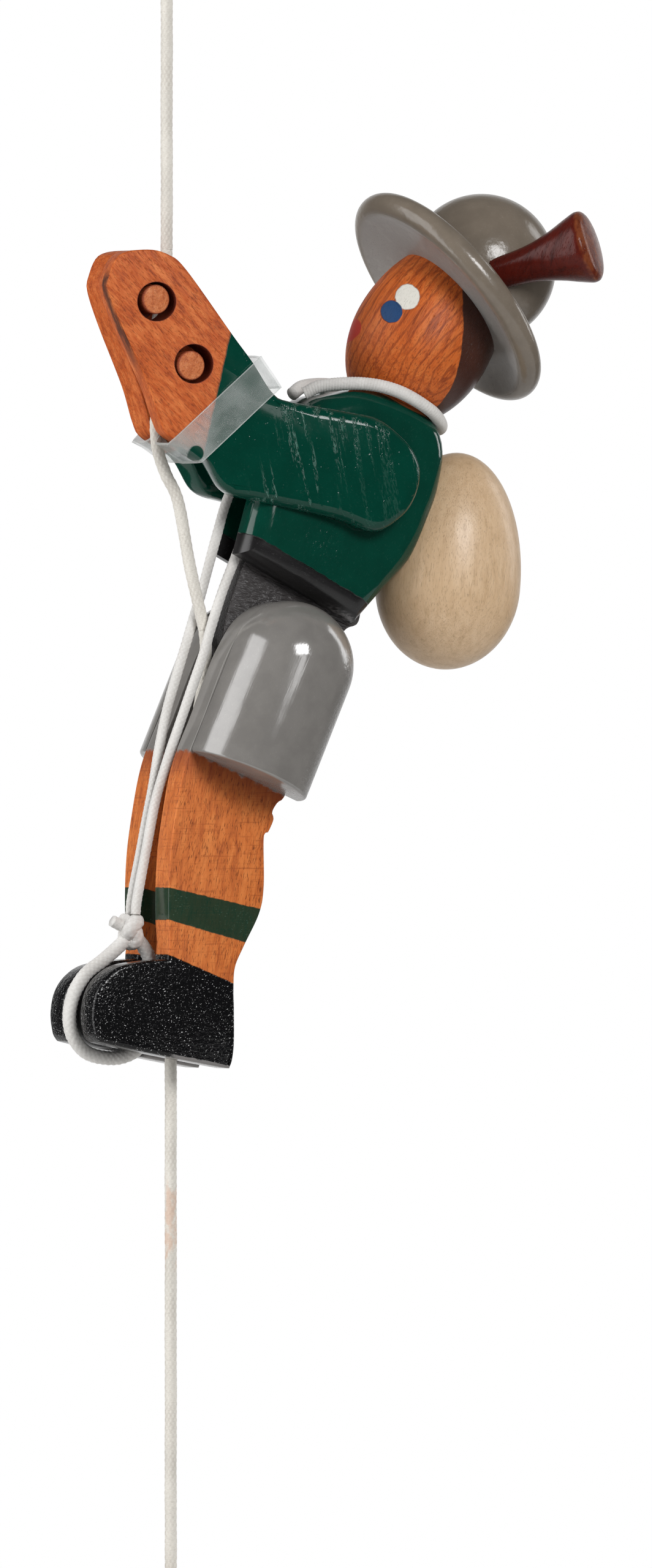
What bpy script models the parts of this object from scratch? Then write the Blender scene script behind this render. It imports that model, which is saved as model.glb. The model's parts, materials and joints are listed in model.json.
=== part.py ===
"""Climbing figure toy: a wooden mountaineer that works its way up a cord.

Run with: blender --background --python part.py

Frame: metres, +Z up. The origin is the inside top of the hanging ring. The cord hangs down the Z axis,
+X is the figure's left side and +Y is behind its back, so the figure faces -Y.
Sizes below are in millimetres and are multiplied by MM where the meshes are made.
"""
import math

import bmesh
import bpy
from mathutils import Matrix, Vector

MM = 0.001

# Main sizes: the cord above the hands, the arms, the body, the legs and the pull cord below them
CORD_TO_GRIP = 108.1
ARM_REACH = 40.0
SHOULDER_DROP = 27.6
BODY_L = 40.1
HIP_FORWARD = 16.1
LEG_L = 82.3
PULL_CORD_L = 105.9

# General clearances
SEAT_GAP = 0.3
CORD_GAP = 0.3

# Hanging ring, knots and pull bead
RING_INNER_R = 11.0
RING_BAR_R = 2.5
KNOT_R = 3.1
KNOT_H = 6.2
BEAD_R = 8.0

# Cord
CORD_D = 2.5
CORD_POINT_STEP = 6.2

# Places (y, z) that the pieces are set out from: the grip on the cord, the shoulder, the hip and the sole
GRIP_Y = -1.6
GRIP = (GRIP_Y, -CORD_TO_GRIP)
SHOULDER = (GRIP[0] + ARM_REACH, GRIP[1] - SHOULDER_DROP)
HIP = (SHOULDER[0] - HIP_FORWARD, SHOULDER[1] - BODY_L)
SOLE = (GRIP[0], HIP[1] - LEG_L)

# Ends of the upper and lower cord
HAND_TOP_Z = GRIP[1] + 17.1
CORD_LOWER_TOP_Z = SOLE[1] + 33.1
CORD_LOWER_Y = GRIP[0] + 2.5
BEAD_TOP_Z = SOLE[1] - PULL_CORD_L

# Arms: two flat boards that splay apart towards the shoulders
ARM_T = 6.5
ARM_EDGE_R = 0.8
ARM_YAW = 9.5
ARM_INNER_X = 2.5
ARM_ORIGIN_Y = GRIP[0] + 0.41
FAR_ARM_SHIFT_Y = 1.3

# Grip pegs
PEG_D = 6.0
PEG_HOLE_D = 8.0
UPPER_PEG_Y = GRIP[0] - 4.5
UPPER_PEG_Z = GRIP[1] + 6.85
LOWER_PEG_Y = GRIP[0] + 2.75
LOWER_PEG_Z = GRIP[1] - 6.6
UPPER_PEG_END_X = 8.2
LOWER_PEG_END_X = 9.6

# Clear band round the wrists
BAND_W = 7.5
BAND_WALL = 0.8
BAND_ORIGIN_Y = GRIP[0] + 7.0
BAND_ORIGIN_Z = GRIP[1] - 13.8
BAND_DIR_Y = 0.735
BAND_DIR_Z = 0.678

# Torso, waist plate and pelvis board
TORSO_T = 20.5
TORSO_EDGE_R = 4.6
WAIST_H = 4.4
PELVIS_T = 7.4
SLOT_CLEARANCE = 0.15
PELVIS_EDGE_R = 0.6

# Hip and legs
HIP_AXLE_D = 4.0
LEG_RUN_GAP = 0.3
LEG_T = 6.9
LEG_EDGE_R = 0.7
LEG_TOP_R = 13.0
THIGH_R = 13.2
THIGH_BELOW_HIP = 24.7
THIGH_TILT = 23.5
SPACER_EDGE_R = 0.8

# Head, neck and hat
HEAD_Y = SHOULDER[0] + 19.7
HEAD_Z = SHOULDER[1] + 26.8
HEAD_R = 13.9
HEAD_UP = 22.0
HEAD_DOWN = 19.0
HEAD_TILT = 33.5
NECK_DOWEL_D = 6.0
NECK_DOWEL_L = 12.0
HAT_Y = HEAD_Y + 5.3
HAT_Z = HEAD_Z + 8.8
HAT_TILT = 52.2
BRIM_R = 26.1
RIM_R = 2.7
BRIM_T = 2.6
CROWN_R = 14.9
CROWN_CENTRE_UP = 9.7
TUFT_L = 21.0
TUFT_ROOT_R = 2.8
TUFT_END_R = 7.5
TUFT_SINK = 1.24

# Backpack
PACK_Y = SHOULDER[0] + 25.5
PACK_Z = SHOULDER[1] - 18.6
PACK_H = 44.6
PACK_R = 14.85
PACK_WIDEST_BELOW = 5.0
PACK_TILT = 6.0
PACK_DOWEL_D = 6.0
PACK_DOWEL_L = 12.0

# Elastic cord
ELASTIC_D = 2.1
NECK_LOOP_D = 2.75
FOOT_LOOP_D = 2.9
STRAND_X = 2.6
ELASTIC_KNOT_R = 4.4

# Values worked out from the sizes above
RING_CENTRE_Z = -RING_INNER_R
RING_BOTTOM_Z = RING_CENTRE_Z - RING_INNER_R - 2 * RING_BAR_R
CORD_R = CORD_D / 2
TIE_LOOP_R = RING_BAR_R + SEAT_GAP + CORD_R
TIE_LOOP_Z = RING_CENTRE_Z - RING_INNER_R - RING_BAR_R
TOP_KNOT_Z = TIE_LOOP_Z - TIE_LOOP_R - CORD_R - SEAT_GAP - KNOT_H / 2
CORD_UPPER_TOP_Z = TOP_KNOT_Z - KNOT_H / 2 - CORD_GAP
BEAD_Z = BEAD_TOP_Z - BEAD_R
BEAD_BORE_R = CORD_R + SEAT_GAP
BOTTOM_KNOT_Z = BEAD_Z - BEAD_R - SEAT_GAP - KNOT_H / 2
CORD_LOWER_END_Z = BOTTOM_KNOT_Z + KNOT_H / 2 + CORD_GAP
TORSO_HALF = TORSO_T / 2
PELVIS_HALF = PELVIS_T / 2
SLOT_HALF = PELVIS_HALF + SLOT_CLEARANCE
LEG_INNER_X = PELVIS_HALF + LEG_RUN_GAP
LEG_OUTER_X = LEG_INNER_X + LEG_T
THIGH_FLAT_X = LEG_OUTER_X + SEAT_GAP
AXLE_HALF_L = LEG_OUTER_X - SEAT_GAP

# Colours: name, base colour, roughness, metallic
COLOURS = {
    "bare_wood": ((0.62, 0.25, 0.08), 0.45, 0.0),
    "pale_wood": ((0.72, 0.58, 0.40), 0.45, 0.0),
    "green_paint": ((0.002, 0.046, 0.029), 0.25, 0.0),
    "dark_grey_paint": ((0.045, 0.043, 0.045), 0.4, 0.0),
    "mid_grey_paint": ((0.20, 0.19, 0.18), 0.3, 0.0),
    "hat_paint": ((0.26, 0.23, 0.20), 0.3, 0.0),
    "leg_finish": ((0.56, 0.2, 0.055), 0.45, 0.0),
    "black_paint": ((0.01, 0.01, 0.01), 0.3, 0.0),
    "cotton": ((0.80, 0.78, 0.74), 0.85, 0.0),
    "elastic": ((0.82, 0.81, 0.79), 0.8, 0.0),
    "clear_band": ((0.85, 0.88, 0.86), 0.15, 0.0),
    "tuft_paint": ((0.075, 0.012, 0.008), 0.25, 0.0),
}


def clear_scene():
    for obj in list(bpy.data.objects):
        bpy.data.objects.remove(obj, do_unlink=True)


def paint(obj, name, kind):
    """Give the object a material of its own."""
    colour, roughness, metallic = COLOURS[kind]
    material = bpy.data.materials.new(name + "_material")
    material.use_nodes = True
    shader = material.node_tree.nodes["Principled BSDF"]
    shader.inputs["Base Color"].default_value = (*colour, 1.0)
    shader.inputs["Roughness"].default_value = roughness
    shader.inputs["Metallic"].default_value = metallic
    material.diffuse_color = (*colour, 1.0)
    obj.data.materials.append(material)


def empty(name, location, parent=None):
    """An empty on a joint's axis, which carries the pieces of one moving body."""
    obj = bpy.data.objects.new(name, None)
    obj.empty_display_size = 5 * MM
    bpy.context.collection.objects.link(obj)
    obj.location = location
    obj["at"] = location
    if parent is not None:
        obj.parent = parent
        obj.location = Vector(location) - Vector(parent["at"])
    return obj


def finish(name, bm, kind, parent, hidden=False):
    """Turn a bmesh in world millimetres into an object, set under its parent empty."""
    bmesh.ops.recalc_face_normals(bm, faces=bm.faces[:])
    origin = Vector(parent["at"])
    for vert in bm.verts:
        vert.co = vert.co * MM - origin
    mesh = bpy.data.meshes.new(name)
    bm.to_mesh(mesh)
    bm.free()
    obj = bpy.data.objects.new(name, mesh)
    bpy.context.collection.objects.link(obj)
    obj.parent = parent
    if hidden:
        obj.hide_render = True
        obj.display_type = "WIRE"
    else:
        paint(obj, name, kind)
        mesh.shade_smooth()
        mesh.set_sharp_from_angle(angle=math.radians(35))
    return obj


def cut(obj, cutter):
    modifier = obj.modifiers.new("cut_" + cutter.name, "BOOLEAN")
    modifier.operation = "DIFFERENCE"
    modifier.solver = "EXACT"
    modifier.object = cutter


def inset(outline, distance):
    """Move every point of a closed outline inwards by the distance, along its mitre."""
    count = len(outline)
    area = sum(outline[i][0] * outline[(i + 1) % count][1] - outline[(i + 1) % count][0] * outline[i][1]
               for i in range(count))
    turn = 1.0 if area > 0 else -1.0
    result = []
    for i in range(count):
        point = Vector(outline[i])
        before = (point - Vector(outline[i - 1])).normalized()
        after = (Vector(outline[(i + 1) % count]) - point).normalized()
        normal_a = Vector((-before.y, before.x)) * turn
        normal_b = Vector((-after.y, after.x)) * turn
        mitre = normal_a + normal_b
        scale = 2.0 / max(mitre.length_squared, 0.6)
        result.append(tuple(point + mitre * scale * distance))
    return result


def smooth_closed(points, steps):
    """A closed curve through the points."""
    result = []
    count = len(points)
    for i in range(count):
        p0, p1, p2, p3 = (Vector(points[(i + k - 1) % count]) for k in range(4))
        for s in range(steps):
            t = s / steps
            value = (p1 * 2 + (p2 - p0) * t + (p0 * 2 - p1 * 5 + p2 * 4 - p3) * t * t
                     + (p1 * 3 - p0 - p2 * 3 + p3) * t * t * t) * 0.5
            result.append(tuple(value))
    return result


def smooth_open(points, spacing):
    """Points at an even spacing on a smooth curve through the route's points."""
    ends = [Vector(points[0]) * 2 - Vector(points[1])]
    ends += [Vector(point) for point in points]
    ends += [Vector(points[-1]) * 2 - Vector(points[-2])]
    dense = []
    for i in range(1, len(ends) - 2):
        p0, p1, p2, p3 = ends[i - 1:i + 3]
        for s in range(24):
            t = s / 24
            dense.append((p1 * 2 + (p2 - p0) * t + (p0 * 2 - p1 * 5 + p2 * 4 - p3) * t * t
                          + (p1 * 3 - p0 - p2 * 3 + p3) * t * t * t) * 0.5)
    dense.append(ends[-2])
    lengths = [0.0]
    for a, b in zip(dense, dense[1:]):
        lengths.append(lengths[-1] + (b - a).length)
    count = max(2, round(lengths[-1] / spacing) + 1)
    result = []
    k = 0
    for i in range(count):
        target = lengths[-1] * i / (count - 1)
        while k < len(dense) - 2 and lengths[k + 1] < target:
            k += 1
        span = lengths[k + 1] - lengths[k]
        share = (target - lengths[k]) / span if span > 0 else 0.0
        result.append(dense[k].lerp(dense[k + 1], share))
    return result


def slab_rings(outline, depth_from, depth_to, edge_r, steps=4):
    """Outlines at rising depth, drawn in at both faces so that the edges are round."""
    rings = []
    for k in range(steps + 1):
        angle = math.pi / 2 * k / steps
        rings.append((depth_from + edge_r * (1 - math.cos(angle)),
                      inset(outline, edge_r * (1 - math.sin(angle)))))
    for k in range(steps + 1):
        angle = math.pi / 2 * (1 - k / steps)
        rings.append((depth_to - edge_r * (1 - math.cos(angle)),
                      inset(outline, edge_r * (1 - math.sin(angle)))))
    return rings


def loft(rings, close=False):
    """Skin a list of rings of points. The ends are filled, or joined to each other."""
    bm = bmesh.new()
    verts = [[bm.verts.new(point) for point in ring] for ring in rings]
    count = len(rings[0])
    pairs = list(zip(verts, verts[1:]))
    if close:
        pairs.append((verts[-1], verts[0]))
    for lower, upper in pairs:
        for i in range(count):
            j = (i + 1) % count
            bm.faces.new((lower[i], lower[j], upper[j], upper[i]))
    if not close:
        bm.faces.new(verts[0][::-1])
        bm.faces.new(verts[-1])
    return bm


def slab_x(outline, x_from, x_to, edge_r, steps=4):
    """A board with its outline in the side view (y, z) and its thickness along X."""
    rings = slab_rings(outline, x_from, x_to, edge_r, steps)
    return loft([[(x, y, z) for y, z in ring] for x, ring in rings])


def prism_x(outline, x_from, x_to):
    return loft([[(x, y, z) for y, z in outline] for x in (x_from, x_to)])


def turned(profile, place, segments=40):
    """Turn a profile of (radius, height) pairs round its own axis and set it at a place."""
    bm = bmesh.new()
    rings = []
    for radius, height in profile:
        if radius < 1e-6:
            rings.append([bm.verts.new((0, 0, height))])
        else:
            rings.append([bm.verts.new((radius * math.cos(2 * math.pi * i / segments),
                                        radius * math.sin(2 * math.pi * i / segments), height))
                          for i in range(segments)])
    for lower, upper in zip(rings, rings[1:]):
        for i in range(segments):
            j = (i + 1) % segments
            if len(lower) == 1:
                bm.faces.new((lower[0], upper[j], upper[i]))
            elif len(upper) == 1:
                bm.faces.new((lower[i], lower[j], upper[0]))
            else:
                bm.faces.new((lower[i], lower[j], upper[j], upper[i]))
    if len(rings[0]) > 1:
        bm.faces.new(rings[0][::-1])
    if len(rings[-1]) > 1:
        bm.faces.new(rings[-1])
    bmesh.ops.transform(bm, matrix=place, verts=bm.verts)
    return bm


def turned_ring(section, place, segments=40):
    """Turn a closed section that stays clear of its axis."""
    rings = []
    for i in range(segments):
        angle = 2 * math.pi * i / segments
        rings.append([(radius * math.cos(angle), radius * math.sin(angle), height)
                      for radius, height in section])
    bm = loft(rings, close=True)
    bmesh.ops.transform(bm, matrix=place, verts=bm.verts)
    return bm


def tilted(y, z, degrees, x=0.0):
    """A place at (x, y, z) whose up direction leans back, towards +Y, by the angle."""
    return Matrix.Translation((x, y, z)) @ Matrix.Rotation(math.radians(-degrees), 4, "X")


def pointing(at, direction):
    return Matrix.Translation(at) @ Vector(direction).to_track_quat("Z", "Y").to_matrix().to_4x4()


def rod_profile(radius, length, edge=0.4):
    half = length / 2
    return [(radius - edge, -half), (radius, -half + edge), (radius, half - edge), (radius - edge, half)]


def egg_profile(radius, up, down, grow=0.0, steps=9):
    """Half of an egg: widest at height 0, with its own length above and below."""
    profile = []
    for i in range(2 * steps + 1):
        angle = -math.pi / 2 + math.pi * i / (2 * steps)
        height = (up if angle > 0 else down) + grow
        profile.append((max(0.0, (radius + grow) * math.cos(angle)), height * math.sin(angle)))
    profile[0] = (0.0, profile[0][1])
    profile[-1] = (0.0, profile[-1][1])
    return profile


def circle(centre_r, centre_h, radius, count, start=0.0):
    return [(centre_r + radius * math.cos(start + 2 * math.pi * i / count),
             centre_h + radius * math.sin(start + 2 * math.pi * i / count)) for i in range(count)]


def from_place(place, points):
    """Points measured from a place, moved there. The last two numbers of each are y and z."""
    return [(*point[:-2], place[0] + point[-2], place[1] + point[-1]) for point in points]


def cord(name, route, diameter, kind, parent, spacing=CORD_POINT_STEP, straight=False):
    """A round cord along a smooth route of (x, y, z) points."""
    if straight:
        start, end = Vector(route[0]), Vector(route[-1])
        count = max(2, round((end - start).length / spacing) + 1)
        points = [start.lerp(end, i / (count - 1)) for i in range(count)]
    else:
        points = smooth_open(route, spacing)
    curve = bpy.data.curves.new(name, "CURVE")
    curve.dimensions = "3D"
    curve.bevel_depth = diameter / 2 * MM
    curve.bevel_resolution = 2
    curve.use_fill_caps = True
    spline = curve.splines.new("POLY")
    spline.points.add(len(points) - 1)
    origin = Vector(parent["at"])
    for target, point in zip(spline.points, points):
        target.co = (*(point * MM - origin), 1.0)
    obj = bpy.data.objects.new(name, curve)
    bpy.context.collection.objects.link(obj)
    obj.parent = parent
    paint(obj, name, kind)
    return obj


clear_scene()
line_origin = empty("line_origin", (0.0, 0.0, 0.0))
grip_origin = empty("grip_origin", (0.0, GRIP[0] * MM, GRIP[1] * MM), line_origin)
lean_axis = empty("lean_axis", (0.0, GRIP[0] * MM, GRIP[1] * MM), grip_origin)
hip_axis = empty("hip_axis", (0.0, HIP[0] * MM, HIP[1] * MM), lean_axis)

# Hanging ring with the cord tied round its bar
along_y = Matrix.Rotation(math.radians(90), 4, "X")
ring_section = circle(RING_INNER_R + RING_BAR_R, 0.0, RING_BAR_R, 8)
ring_mesh = turned_ring(ring_section, Matrix.Translation((0, 0, RING_CENTRE_Z)) @ along_y, 32)
finish("hanging_ring", ring_mesh, "bare_wood", line_origin)

tie_section = circle(TIE_LOOP_R, 0.0, CORD_R, 8)
along_x = Matrix.Rotation(math.radians(90), 4, "Y")
tie_mesh = turned_ring(tie_section, Matrix.Translation((0, 0, TIE_LOOP_Z)) @ along_x, 16)
finish("ring_tie_loop", tie_mesh, "cotton", line_origin)

knot_profile = egg_profile(KNOT_R, KNOT_H / 2, KNOT_H / 2, steps=3)
finish("top_knot", turned(knot_profile, tilted(0.0, TOP_KNOT_Z, 0.0), 12), "cotton", line_origin)
cord("cord_upper", [(0, 0, CORD_UPPER_TOP_Z), (0, 0, HAND_TOP_Z)], CORD_D, "cotton", line_origin,
     straight=True)

# Lower cord with its pull bead
cord("cord_lower", [(0, CORD_LOWER_Y, CORD_LOWER_TOP_Z), (0, CORD_LOWER_Y, CORD_LOWER_END_Z)], CORD_D,
     "cotton", line_origin, straight=True)
bead_section = []
for step in range(11):
    bore_angle = math.asin(BEAD_BORE_R / BEAD_R)
    bead_angle = -math.pi / 2 + bore_angle + (math.pi - 2 * bore_angle) * step / 10
    bead_section.append((BEAD_R * math.cos(bead_angle), BEAD_R * math.sin(bead_angle)))
bead_mesh = turned_ring(bead_section, tilted(CORD_LOWER_Y, BEAD_Z, 0.0), 20)
finish("pull_bead", bead_mesh, "bare_wood", line_origin)
finish("bottom_knot", turned(knot_profile, tilted(CORD_LOWER_Y, BOTTOM_KNOT_Z, 0.0), 12), "cotton",
       line_origin)

# The cord between the two hands
cord("cord_at_hands",
     [(0, 0, HAND_TOP_Z - CORD_GAP)]
     + from_place(GRIP, [(0, 1.25, 12.6), (0, 0.3, 6.85), (0, -0.9, 0.1), (0, -1.8, -6.6), (0, -1.8, -11.4),
                         (0, -1.55, -15.7)]),
     CORD_D, "cotton", grip_origin, spacing=3.6)

# Torso block with its slot. Its base is painted dark grey: that part is a plate on each side.
TORSO_SIDE = (from_place(SHOULDER, [(20.6, 6.3), (20.4, 3.3), (18.2, -7.8), (13.4, -17.8)])
              + from_place(HIP, [(23.1, 15.6), (19.2, 12.1), (16.6, 8.8), (-9.4, 22.8), (-7.9, 26.6)])
              + from_place(SHOULDER, [(-22.4, -6.7), (-18.8, 0.9), (-14.4, 7.7), (-8.3, 13.8),
                                       (-3.5, 15.4), (1.3, 16.4), (5.6, 16.1), (9.6, 15.1), (14.0, 13.3),
                                       (17.9, 10.7)]))
torso = finish("torso", slab_x(TORSO_SIDE, -TORSO_HALF, TORSO_HALF, TORSO_EDGE_R, 5), "green_paint", lean_axis)
SLOT_SIDE = (from_place(SHOULDER, [(-38.4, 23.7), (-8.9, 23.7), (-8.9, 11.7), (-11.9, 2.7)])
             + from_place(HIP, [(1.2, 32.8), (20.3, 32.8), (23.7, 25.8), (23.7, -4.2), (-22.3, -4.2)]))
slot_cutter = finish("torso_slot_cutter", prism_x(SLOT_SIDE, -SLOT_HALF, SLOT_HALF), "", lean_axis, True)
cut(torso, slot_cutter)

# The base line runs down to the rear, and the seam lies above it by the height of the grey part
base_front, base_rear = (Vector(point) for point in from_place(HIP, [(-9.4, 22.8), (16.6, 8.8)]))
base_along = (base_rear - base_front).normalized()
base_up = Vector((-base_along.y, base_along.x))
seam_point = base_front + base_up * WAIST_H


def seam_block(from_seam, towards, reach=60.0):
    """A block in the side view that starts a given height above the seam and reaches up or down from there."""
    near = seam_point + base_up * from_seam
    far = near + base_up * towards * reach
    corners = ((near, -reach), (near, reach), (far, reach), (far, -reach))
    return [tuple(point + base_along * shift) for point, shift in corners]


block_half = TORSO_HALF + 8.0
cut(torso, finish("below_seam_cutter", prism_x(seam_block(0.0, -1), -block_half, block_half), "", lean_axis, True))
above_seam = finish("above_seam_cutter", prism_x(seam_block(-SEAT_GAP, 1), -block_half, block_half), "",
                    lean_axis, True)
for side_name, block_from, block_to in (("left", -block_half, SLOT_HALF), ("right", -SLOT_HALF, block_half)):
    plate = finish(side_name + "_waist_plate", slab_x(TORSO_SIDE, -TORSO_HALF, TORSO_HALF, TORSO_EDGE_R, 5),
                   "dark_grey_paint", lean_axis)
    other_side = finish("beside_" + side_name + "_plate_cutter", prism_x(seam_block(20.0, -1), block_from, block_to),
                        "", lean_axis, True)
    cut(plate, above_seam)
    cut(plate, other_side)

# Pelvis board in the slot, with its nose in front and the hip axle through it
PELVIS_SIDE = from_place(HIP, [(2.2, 30.3), (18.2, 30.3), (19.7, 25.8), (19.7, 10.2), (16.5, 7.4),
                               (11.7, 2.8), (9.0, -0.2), (7.9, -4.4), (4.3, -7.9), (0.0, -9.0),
                               (-4.5, -7.8), (-7.7, -4.6), (-9.4, -0.2), (-11.0, 3.2), (-11.4, 5.4),
                               (-10.5, 10.4), (-8.5, 16.1), (-5.9, 22.2), (-1.8, 27.3)])
pelvis = finish("pelvis_board", slab_x(PELVIS_SIDE, -PELVIS_HALF, PELVIS_HALF, PELVIS_EDGE_R, 2),
                "dark_grey_paint", lean_axis)
axle_hole_profile = rod_profile(HIP_AXLE_D / 2 + SEAT_GAP, 2 * AXLE_HALF_L + 12.0)
axle_hole = finish("axle_hole_cutter", turned(axle_hole_profile, Matrix.Translation((0, *HIP)) @ along_x,
                                              24), "", hip_axis, True)
cut(pelvis, axle_hole)

# Arms: boards in a vertical plane that turns outwards from the hands to the shoulders
HAND_TOP_SIDE = [(-11.5, 15.9), (-5.8, 17.0), (-1.3, 16.0), (2.5, 12.9), (12.1, -0.1), (16.3, -5.6)]
SHOULDER_SIDE = [(-19.2, 15.6), (-15.2, 13.7), (-2.0, 11.7), (3.4, 10.5), (7.5, 7.8), (10.8, 4.2),
                 (12.5, -0.5), (11.4, -5.8), (8.3, -10.0), (2.7, -12.8), (-6.0, -10.0)]
HAND_UNDER_SIDE = [(17.8, -34.3), (10.9, -32.0), (6.3, -25.3), (-1.1, -21.1), (-3.2, -17.9),
                   (-5.8, -10.5), (-11.5, 1.6), (-14.2, 8.5), (-14.0, 11.5)]
ARM_SIDE = HAND_TOP_SIDE + from_place((ARM_REACH, -SHOULDER_DROP), SHOULDER_SIDE) + HAND_UNDER_SIDE


def arm_mesh(side, shift_y, grow=0.0):
    """One arm board. Side is 1 on the figure's left and -1 on its right."""
    yaw = math.radians(ARM_YAW)
    along = Vector((math.sin(yaw) * side, math.cos(yaw), 0))
    outwards = Vector((math.cos(yaw) * side, -math.sin(yaw), 0))
    origin = Vector((ARM_INNER_X * side, ARM_ORIGIN_Y + shift_y, GRIP[1]))
    outline = inset(smooth_closed(ARM_SIDE, 2), -grow) if grow else smooth_closed(ARM_SIDE, 2)
    edge = 0.05 if grow else ARM_EDGE_R
    rings = slab_rings(outline, -grow, ARM_T + grow, edge, 1 if grow else 2)
    return loft([[origin + along * a + outwards * depth + Vector((0, 0, b)) for a, b in ring]
                 for depth, ring in rings])


left_arm = finish("left_arm", arm_mesh(1, 0.0), "green_paint", lean_axis)
right_arm = finish("right_arm", arm_mesh(-1, FAR_ARM_SHIFT_Y), "green_paint", lean_axis)
cut(torso, finish("left_arm_seat_cutter", arm_mesh(1, 0.0, SEAT_GAP), "", lean_axis, True))
cut(torso, finish("right_arm_seat_cutter", arm_mesh(-1, FAR_ARM_SHIFT_Y, SEAT_GAP), "", lean_axis, True))

# Grip pegs: tight in the right hand, loose in the left
for peg_name, peg_y, peg_z, peg_end in (("upper_grip_peg", UPPER_PEG_Y, UPPER_PEG_Z, UPPER_PEG_END_X),
                                        ("lower_grip_peg", LOWER_PEG_Y, LOWER_PEG_Z, LOWER_PEG_END_X)):
    peg_place = Matrix.Translation((0, peg_y, peg_z)) @ along_x
    finish(peg_name, turned(rod_profile(PEG_D / 2, 2 * peg_end), peg_place, 20), "bare_wood", lean_axis)
    tight_hole = Matrix.Translation((-14.0, peg_y, peg_z)) @ along_x
    loose_hole = Matrix.Translation((14.0, peg_y + 0.2, peg_z)) @ along_x
    cut(right_arm, finish(peg_name + "_tight_cutter",
                          turned(rod_profile(PEG_D / 2 + SEAT_GAP, 30.0), tight_hole, 20), "", lean_axis, True))
    cut(left_arm, finish(peg_name + "_loose_cutter",
                         turned(rod_profile(PEG_HOLE_D / 2, 30.0), loose_hole, 24), "", lean_axis, True))

# Clear band round both wrists: a thin wall that follows a rounded path across the forearms
band_origin = Vector((0, BAND_ORIGIN_Y, BAND_ORIGIN_Z))
band_up = Vector((0, BAND_DIR_Y, BAND_DIR_Z))
band_along = Vector((0, BAND_DIR_Z, -BAND_DIR_Y))
BAND_START = [(12.6, 12.3), (12.0, 13.2), (6.0, 13.6), (0.0, 13.9), (-6.0, 14.1), (-12.0, 14.2), (-12.6, 13.2),
              (-11.2, 1.0), (-9.7, -10.8), (-9.0, -11.6), (-5.5, -12.2), (-2.9, -12.0), (-1.5, -10.8), (0.0, -9.1),
              (1.5, -11.0), (2.9, -12.5), (5.5, -12.9), (9.1, -12.9), (9.8, -12.0), (11.2, 0.0)]
BAND_END = [(13.4, 11.0), (12.8, 12.0), (6.4, 12.2), (0.0, 12.5), (-6.4, 12.8), (-12.8, 12.9), (-13.4, 12.0),
            (-12.3, 2.0), (-11.2, -8.4), (-10.4, -9.3), (-6.0, -9.9), (-2.9, -10.1), (-1.5, -10.2), (0.0, -10.2),
            (1.5, -10.3), (2.9, -10.3), (6.0, -10.3), (10.4, -10.2), (11.2, -9.4), (12.3, 1.0)]


def band_ring(path, offset, along):
    outline = inset(smooth_closed(path, 2), -offset)
    return [band_origin + Vector((x, 0, 0)) + band_up * s + band_along * along for x, s in outline]


band_rings = [band_ring(BAND_START, -BAND_WALL / 2, 0.0), band_ring(BAND_START, BAND_WALL / 2, 0.0),
              band_ring(BAND_END, BAND_WALL / 2, BAND_W), band_ring(BAND_END, -BAND_WALL / 2, BAND_W)]
finish("wrist_band", loft(band_rings, close=True), "clear_band", lean_axis)

# Head: a turned egg in a dished seat, on a neck dowel
head_place = tilted(HEAD_Y, HEAD_Z, HEAD_TILT)
head = finish("head", turned(egg_profile(HEAD_R, HEAD_UP, HEAD_DOWN), head_place, 28), "bare_wood", lean_axis)
head_room = finish("head_room_cutter", turned(egg_profile(HEAD_R, HEAD_UP, HEAD_DOWN, SEAT_GAP), head_place, 28),
                   "", lean_axis, True)
cut(torso, head_room)
neck_place = head_place @ Matrix.Translation((0, 0, -HEAD_DOWN))
finish("neck_dowel", turned(rod_profile(NECK_DOWEL_D / 2, NECK_DOWEL_L), neck_place, 20), "pale_wood", lean_axis)
neck_hole = finish("neck_hole_cutter",
                   turned(rod_profile(NECK_DOWEL_D / 2 + SEAT_GAP, NECK_DOWEL_L + 2 * SEAT_GAP), neck_place, 20),
                   "", lean_axis, True)
cut(torso, neck_hole)
cut(head, neck_hole)

# Hat: a dished brim with a rolled rim and a ball crown
hat_place = tilted(HAT_Y, HAT_Z, HAT_TILT)
rim_centre = BRIM_R - RIM_R
hat_profile = [(0.0, -BRIM_T / 2), (rim_centre - 6.0, -BRIM_T / 2)]
for step in range(7):
    rim_angle = math.radians(-120 + 240 * step / 6)
    hat_profile.append((rim_centre + RIM_R * math.cos(rim_angle), RIM_R * math.sin(rim_angle)))
hat_profile.append((rim_centre - 4.5, BRIM_T / 2))
hat_profile.append((CROWN_R + 2.2, BRIM_T / 2))
for step in range(9):
    crown_angle = math.radians(-28 + 118 * step / 8)
    hat_profile.append((CROWN_R * math.cos(crown_angle), CROWN_CENTRE_UP + CROWN_R * math.sin(crown_angle)))
hat_profile[-1] = (0.0, CROWN_CENTRE_UP + CROWN_R)
hat = finish("hat", turned(hat_profile, hat_place, 36), "hat_paint", lean_axis)
cut(hat, head_room)

# Tuft on the side of the crown: a turned peg that flares to a slightly domed end
crown_centre = hat_place @ Vector((0, 0, CROWN_CENTRE_UP))
tuft_root = crown_centre + Vector((0.966, -0.231, -0.113)).normalized() * (CROWN_R - TUFT_SINK)
tuft_place = pointing(tuft_root, (0.592, 0.75, 0.28))
# Each pair is a share of the way from the root's radius to the end's, and a share of the length
TUFT_FLARE = [(0.0, 0.0), (0.06, 0.24), (0.19, 0.43), (0.45, 0.62), (0.77, 0.79), (0.97, 0.9), (1.0, 0.945),
              (0.93, 0.985), (0.6, 1.02)]


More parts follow.
